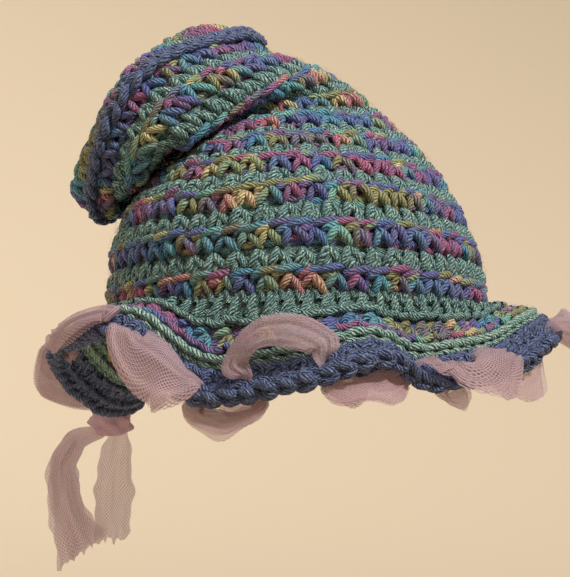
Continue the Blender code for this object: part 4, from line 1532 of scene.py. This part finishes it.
@dataclass
class NetSheets:
    """Layers of tulle that follow one route, gathered in one mesh."""

    points: list[np.ndarray] = field(default_factory=list)
    maps: list[np.ndarray] = field(default_factory=list)

    def add(self, points: np.ndarray, width: float, closed: bool, shift: float) -> None:
        """Adds a layer.

        Args:
            points: a grid of points, row by length and column by width.
            width: how wide the net was cut.
            closed: whether the last row joins the first.
            shift: how far the net's pattern is moved along.
        """
        if closed:
            points = np.concatenate([points, points[:1]])
        middle = points[:, points.shape[1] // 2]
        lengths = lengths_to(middle) + shift
        across = np.linspace(-width / 2, width / 2, points.shape[1])
        self.points.append(points)
        self.maps.append(np.stack(np.broadcast_arrays(lengths[:, None], across[None, :]), axis=-1))

    def build(self, name: str, material: bpy.types.Material) -> bpy.types.Object:
        """Makes the mesh.

        Args:
            name: the piece's name.
            material: the net's finish.

        Returns:
            The new object.
        """
        vertices, faces, corners, count = [], [], [], 0
        for grid, uses in zip(self.points, self.maps):
            rows, columns = grid.shape[:2]
            numbers = count + np.arange(rows * columns).reshape(rows, columns)
            vertices.append(grid.reshape(-1, 3))
            faces.append(self._corners(numbers).reshape(-1, 4))
            corners.append(self._corners(uses).reshape(-1, 2))
            count += rows * columns
        return mesh_object(
            name, np.concatenate(vertices), np.concatenate(faces), np.concatenate(corners), "cloth",
            material,
        )

    @staticmethod
    def _corners(grid: np.ndarray) -> np.ndarray:
        """The values at the corners of each face of a grid."""
        return np.stack([grid[:-1, :-1], grid[:-1, 1:], grid[1:, 1:], grid[1:, :-1]], axis=2)

    @property
    def length(self) -> float:
        """The length of the first layer, along its middle."""
        return float(self.maps[0][-1, 0, 0])


@dataclass
class Ribbon:
    """The tulle ribbon that goes over and under the border, with its knot and tails.

    Pinch is how wide it is where it is gathered to pass an eyelet, clearance how far its
    middle lies off the middle of the border, and rise how far along the edge it takes to get
    there. Opening tells how fast it opens past an eyelet, the lower the faster, and droop how
    far it droops for each length that it reaches past the edge. Bunched holds the numbers of
    the stretches where a third layer starts and ends, and knot_stretch the number of the one
    that starts at the knot. Each shift moves the net's pattern along from layer to layer.
    The tails' folds, curl and layers stand off their middle by tail_fold, tail_curl and
    tail_room. Their cut ends slant by tail_slant and fray by tail_fray.
    """

    worker: Worker
    pinch: float = 0.0066
    clearance: float = 0.0042
    rise: float = 0.0016
    opening: float = 0.25
    droop: float = 0.8
    rows: int = 44
    stations: int = 33
    pleats: float = 3.0
    pleat_depth: float = 0.0009
    opened_by: float = 0.0005
    layer_room: float = 0.0009
    crowning: float = 0.18
    flutter: float = 0.0010
    bunched: tuple[tuple[int, int], ...] = ((10, 13), (15, 16), (17, 18))
    layer_shift: float = 0.0137
    bunched_shift: float = 0.005
    tail_shift: float = 0.011
    knot_stretch: int = 10
    knot_length: float = 0.018
    knot_breadth: float = 0.012
    knot_height: float = 0.014
    knot_rows: int = 25
    knot_columns: int = 61
    long_tail: float = 0.058
    short_tail: float = 0.054
    tail_width: float = 0.019
    tail_spread: float = 1.08
    tail_rows: int = 60
    tail_columns: int = 25
    tail_fold: float = 0.0022
    tail_curl: float = 0.003
    tail_room: float = 0.0012
    tail_slant: float = 0.006
    tail_fray: float = 0.0011
    cut_tail: float = 0.024
    ribbon_width: float = 0.034
    gap: float = 0.0003

    def build(self) -> None:
        """Makes the ribbon, the knot and the tails."""
        net = Tulle().material()
        sheets = NetSheets()
        for layer in range(2):
            sheets.add(self._woven(layer), self.ribbon_width, True, layer * self.layer_shift)
        # the ends overlap beside the knot, and the net is bunched in two of the puffs
        over = self._woven(2)
        for first, last in self.bunched:
            stretch = over[first * self.rows : last * self.rows]
            sheets.add(stretch, self.ribbon_width, False, self.bunched_shift)
        ribbon = sheets.build("tulle_ribbon_net", net)
        attach(ribbon, ("tulle_ribbon",))
        # its two layers are one net, laid double along its length
        # the net is gathered so tightly in the knot that it hides what is behind it
        self._knot(
            Tulle("gathered_tulle", thread=0.60, veil=0.85, colour="EED2DE", shadow="E4C6D4").material()
        )
        bottom = self._knot_middle() - np.array([0, 0, self.knot_height / 3])
        aside = np.array([self.knot_length / 4, 0, 0])
        # the tails hang in the hat's shadow, and their net is painted paler than the ribbon's, as painted
        # light
        net = Tulle(
            "tail_tulle", thread=0.46, veil=0.55, colour="F6E8EF", shadow="F2E0E9"
        ).material()
        tails = (
            ("ribbon_tail_long", self.long_tail, LONG_TAIL_ROWS, bottom - aside, 2),
            ("ribbon_tail_short", self.short_tail, SHORT_TAIL_ROWS, bottom + aside, 1),
        )
        for node, length, table, start, layers in tails:
            self._tail(node, length, table, start, layers, net)

    def _woven(self, layer: int) -> np.ndarray:
        """One layer of the ribbon: a grid of points, row by length and column by width.

        Args:
            layer: 0 for the under layer, 1 for the one over it, and 2 for the one on top,
                which only the bunched stretches have.

        Returns:
            The grid, which closes on itself.
        """
        form, chance = self.worker.form, np.random.default_rng(20 + layer)
        across = np.linspace(-1, 1, self.stations)
        share = (np.arange(self.rows) / self.rows)[:, None]
        swell = np.sin(math.pi * share)
        grids = []
        for number, (start, side, places) in enumerate(RIBBON_STRETCHES):
            end = start + (RIBBON_STRETCHES[(number + 1) % len(RIBBON_STRETCHES)][0] - start) % 360
            steps = form.brim_points(np.linspace(start, end, 30), np.full(30, form.eyelet_middle))
            scale = float(np.linalg.norm(np.diff(steps, axis=0), axis=1).sum()) / (end - start)
            # the route through its places in metres along the edge and down the brim
            first_eyelet = (start, form.eyelet_middle, *places[0][2:])
            last_eyelet = (end, form.eyelet_middle, *places[-1][2:])
            table = np.array([first_eyelet, *places, last_eyelet])
            table = table * (scale, form.brim_width, 0.001, 0.001)
            knots = lengths_to(table[:, :2])
            route = smooth(knots, table, share[:, 0] * knots[-1])
            edgeways, downward, puff, width = route.T[:, :, None]
            run = np.stack([np.gradient(edgeways[:, 0]), np.gradient(downward[:, 0])], axis=1)
            rise = self.rise / knots[-1]
            gathered = math.sin(math.pi * rise)
            opened = np.clip((swell - gathered) / (1 - gathered), 0, 1) ** self.opening
            half = self.pinch / 2 + (width - self.pinch) / 2 * opened
            first, second, third, fourth = chance.uniform(0, 2 * math.pi, 4)
            # folds run along the ribbon and close up towards its gathered ends
            fold = np.sin(across * math.pi * self.pleats + first + 1.3 * np.sin(2.2 * share + second))
            fold = fold + 0.5 * np.sin(across * math.pi * self.pleats * 1.7 + third + 2 * share)
            nearest_end = np.minimum(share, 1 - share)
            room = np.minimum(1, nearest_end / (3 * rise))
            clearing = np.minimum(1, nearest_end / rise)
            stand = self.clearance * clearing + puff * swell**0.8
            depth = (self.pleat_depth - self.opened_by * opened) * room
            roundness = self.crowning * half * swell * (1 - across**2)
            flutter = self.flutter * swell * np.abs(across) ** 3
            flutter = flutter * np.sin(9 * share + fourth + 2 * across)
            offset = stand + (fold + 1.5) * depth + roundness + flutter * room
            offset = offset + layer * self.layer_room * room
            # the width varies a little, on each side in its own way
            vary = 0.05 * np.sin(11 * share + second + 3 * np.sign(across)) * swell
            wide = across * half * (1 + vary)
            angle = np.arctan2(run[:, 1:], run[:, :1]) * clearing**2
            azimuth = (edgeways - wide * np.sin(angle)) / scale
            place = (downward + wide * np.cos(angle)) / form.brim_width
            flat = [
                np.broadcast_to(values, offset.shape).ravel()
                for values in (azimuth, place, side * offset)
            ]
            points = form.brim_place(*flat).reshape(*offset.shape, 3)
            points[..., 2] -= self.droop * np.maximum(0, place - 1) * form.brim_width
            grids.append(points)
        return np.concatenate(grids)

    def _knot_middle(self) -> np.ndarray:
        """The middle of the knot.

        Returns:
            The point, just past the edge of the border.
        """
        form, azimuth = self.worker.form, np.array([RIBBON_STRETCHES[self.knot_stretch][0]])
        edge = form.brim_points(azimuth, np.array([1.0]))
        past = form.brim_points(azimuth, np.array([1.001]))
        return (edge + unit(past - edge) * (self.knot_height / 2 + 4 * self.gap))[0]

    def _knot(self, material: bpy.types.Material) -> None:
        """Makes the knot: net wound on itself in deep creases.

        Args:
            material: the gathered net's finish.
        """
        down = np.linspace(0.04, math.pi - 0.04, self.knot_rows)[:, None]
        turn = np.linspace(0, 2 * math.pi, self.knot_columns)[None, :]
        # seven creases run down it, and a deeper one winds around its middle
        crease = np.abs(np.sin(3.5 * turn + 1.6 * np.sin(down * 1.5))) ** 0.6
        lump = 0.13 * np.sin(3 * turn + 3.5 * down) + 0.10 * np.sin(5 * turn - 6 * down + 1)
        waist = np.exp(-((down - 1.3 - 0.5 * np.sin(turn)) ** 2) / 0.03)
        size = 1.10 + 0.16 * crease + lump - 0.16 * waist
        points = np.stack(np.broadcast_arrays(
            size * np.sin(down) * np.cos(turn) * self.knot_length / 2,
            size * np.sin(down) * np.sin(turn) * self.knot_breadth / 2,
            np.cos(down) * self.knot_height / 2 + 0 * turn,
        ), axis=-1)
        sheets = NetSheets()
        sheets.add(points + self._knot_middle(), self.ribbon_width, False, 0.0)
        attach(sheets.build("ribbon_knot_net", material), ("ribbon_knot",))

    def _tail(
        self, node: str, length: float, table: Table, start: np.ndarray, layers: int,
        material: bpy.types.Material,
    ) -> None:
        """Makes a tail that hangs from the knot.

        Args:
            node: the solid that it stands for, which gives the piece its name.
            length: the tail's length.
            table: its route and width.
            start: where it leaves the knot.
            layers: how many layers of net it has.
            material: the net's finish.
        """
        name = f"{node}_net"
        rows = np.array(table)
        fine = smooth(rows[:, 2], rows, np.linspace(0, 1, self.tail_rows))
        path = start + fine[:, :3] * np.array([-1, 1, -1]) * length
        facing = unit(np.array([0.25, -1, 0]))
        run = unit(np.gradient(path, axis=0) + np.array([0, 0, -0.0006]))
        across = unit(np.cross(run, facing))[:, None]
        side = np.linspace(-1, 1, self.tail_columns)
        down = np.linspace(0, 1, self.tail_rows)[:, None]
        # its cut end, from 0 where it starts to 1 at the last thread
        end = np.clip(down - 0.85, 0, 1) / 0.15
        slope = -self.tail_slant * side * end * (1 if layers > 1 else 0.3)
        chance = np.random.default_rng(len(name))
        sheets = NetSheets()
        for layer in range(layers):
            phases = chance.uniform(0, 2 * math.pi, 3)
            # wide folds with narrower ones between them, shallow where the knot holds them
            fold = np.sin(side * 6.5 + phases[0] + 4 * down)
            fold = fold + 0.6 * np.sin(side * 11 + phases[1] - 5 * down)
            depth = self.tail_fold * np.clip(down * 6, 0.15, 1)
            curl = self.tail_curl * side**2 * np.sin(down * 5 + phases[2])
            halves = fine[:, 3:] * self.tail_width * self.tail_spread / 2 * (1 - 0.08 * layer)
            # the cut end slants, and its threads have frayed
            slant = slope + chance.normal(0, self.tail_fray, self.tail_columns) * end**3
            waver = 0.07 * np.sin(down * 17 + phases[0])
            halves = halves * (1 + waver + 0.05 * np.sin(down * 31 + phases[1]))
            points = path[:, None] + (side * halves)[..., None] * across
            points = points + (fold * depth + curl + layer * self.tail_room)[..., None] * facing
            points = points + slant[..., None] * np.array([0, 0, 1.0])
            sheets.add(points, self.cut_tail, False, layer * self.tail_shift)
        tail = sheets.build(name, material)
        attach(tail, (node,))


@dataclass
class Stage:
    """A plain pale floor that rises far behind, soft studio light, and the camera.

    The floor is flat out to flat_radius and then curves up into the wall, over curve_share of
    the wall's height. Pitch and yaw turn the camera up and to its left, in degrees.
    """

    floor: float = -0.30
    flat_radius: float = 1.6
    wall_radius: float = 3.4
    wall_height: float = 3.2
    curve_share: float = 0.6
    curve_steps: int = 16
    columns: int = 96
    room_colour: str = "F2F4FA"
    room_light: float = 0.50
    lens: float = 94.9
    distance: float = 0.700
    camera_height: float = -0.055
    pitch: float = 5.3
    yaw: float = 0.458

    def build(self) -> None:
        """Makes the floor, the lights and the camera."""
        self._floor()
        self._lights()
        data = bpy.data.cameras.new("camera")
        data.sensor_width = 36
        data.lens = self.lens
        data.clip_start, data.clip_end = 0.01, 50
        camera = bpy.data.objects.new("camera", data)
        camera.location = (0, -self.distance, self.camera_height)
        camera.rotation_euler = (math.radians(90 + self.pitch), 0, math.radians(self.yaw))
        bpy.context.scene.collection.objects.link(camera)
        bpy.context.scene.camera = camera

    def _floor(self) -> None:
        """Makes the floor: a flat disc whose rim curves up into a wall all around."""
        profile = [(0.02, 0.0), (self.flat_radius, 0.0)]
        for step in range(1, self.curve_steps + 1):
            angle = math.pi / 2 * step / self.curve_steps
            profile.append((
                self.flat_radius + (self.wall_radius - self.flat_radius) * math.sin(angle),
                self.wall_height * (1 - math.cos(angle)) * self.curve_share,
            ))
        profile.append((self.wall_radius, self.wall_height))
        turns = np.arange(self.columns) / self.columns * 2 * math.pi
        vertices = np.array([
            (radius * math.cos(turn), radius * math.sin(turn), self.floor + rise)
            for radius, rise in profile for turn in turns
        ])
        faces = closed_faces(len(profile), self.columns)
        corners = np.zeros((faces.size, 2))
        board = MatteBoard().material()
        mesh_object("floor", vertices, faces.reshape(-1, 4), corners, "flat", board)

    def _lights(self) -> None:
        """Makes a warm key light, a cool fill and the light of the room."""
        # each lamp: name, place, apparent width in degrees, strength and colour
        lamps = (
            ("key", (0.75, -0.75, 1.05), 10.0, 2.9, "FFFAF2"),
            ("fill", (-1.2, -0.9, 0.35), 60.0, 0.35, "DDE6F6"),
        )
        for name, place, spread, power, colour in lamps:
            data = bpy.data.lights.new(name, "SUN")
            data.angle = math.radians(spread)
            data.energy = power
            data.color = linear(colour)[:3]
            lamp = bpy.data.objects.new(name, data)
            lamp.location = place
            direction = np.array(place)
            lamp.rotation_euler = (
                math.acos(direction[2] / np.linalg.norm(direction)), 0,
                math.atan2(direction[1], direction[0]) + math.pi / 2,
            )
            bpy.context.scene.collection.objects.link(lamp)
        world = bpy.data.worlds.new("room")
        world.use_nodes = True
        sky = world.node_tree.nodes["Background"]
        sky.inputs["Color"].default_value = linear(self.room_colour)
        sky.inputs["Strength"].default_value = self.room_light
        bpy.context.scene.world = world
        bpy.context.scene.view_settings.view_transform = "Standard"


def main() -> None:
    """Builds the hat around its frame."""
    logging.basicConfig(level=logging.INFO, format="%(message)s")
    for item in list(bpy.data.objects):
        bpy.data.objects.remove(item, do_unlink=True)
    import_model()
    worker = Worker(HatForm(), np.random.default_rng(7))
    crown, brim = Crown(worker), Brim(worker)
    crown.build()
    RoundTop(worker).build()
    brim.build()
    for fabric in (crown, brim):
        fabric.fibres(Fuzz(worker))
    Ribbon(worker).build()
    Stage().build()


if __name__ == "__main__":
    main()
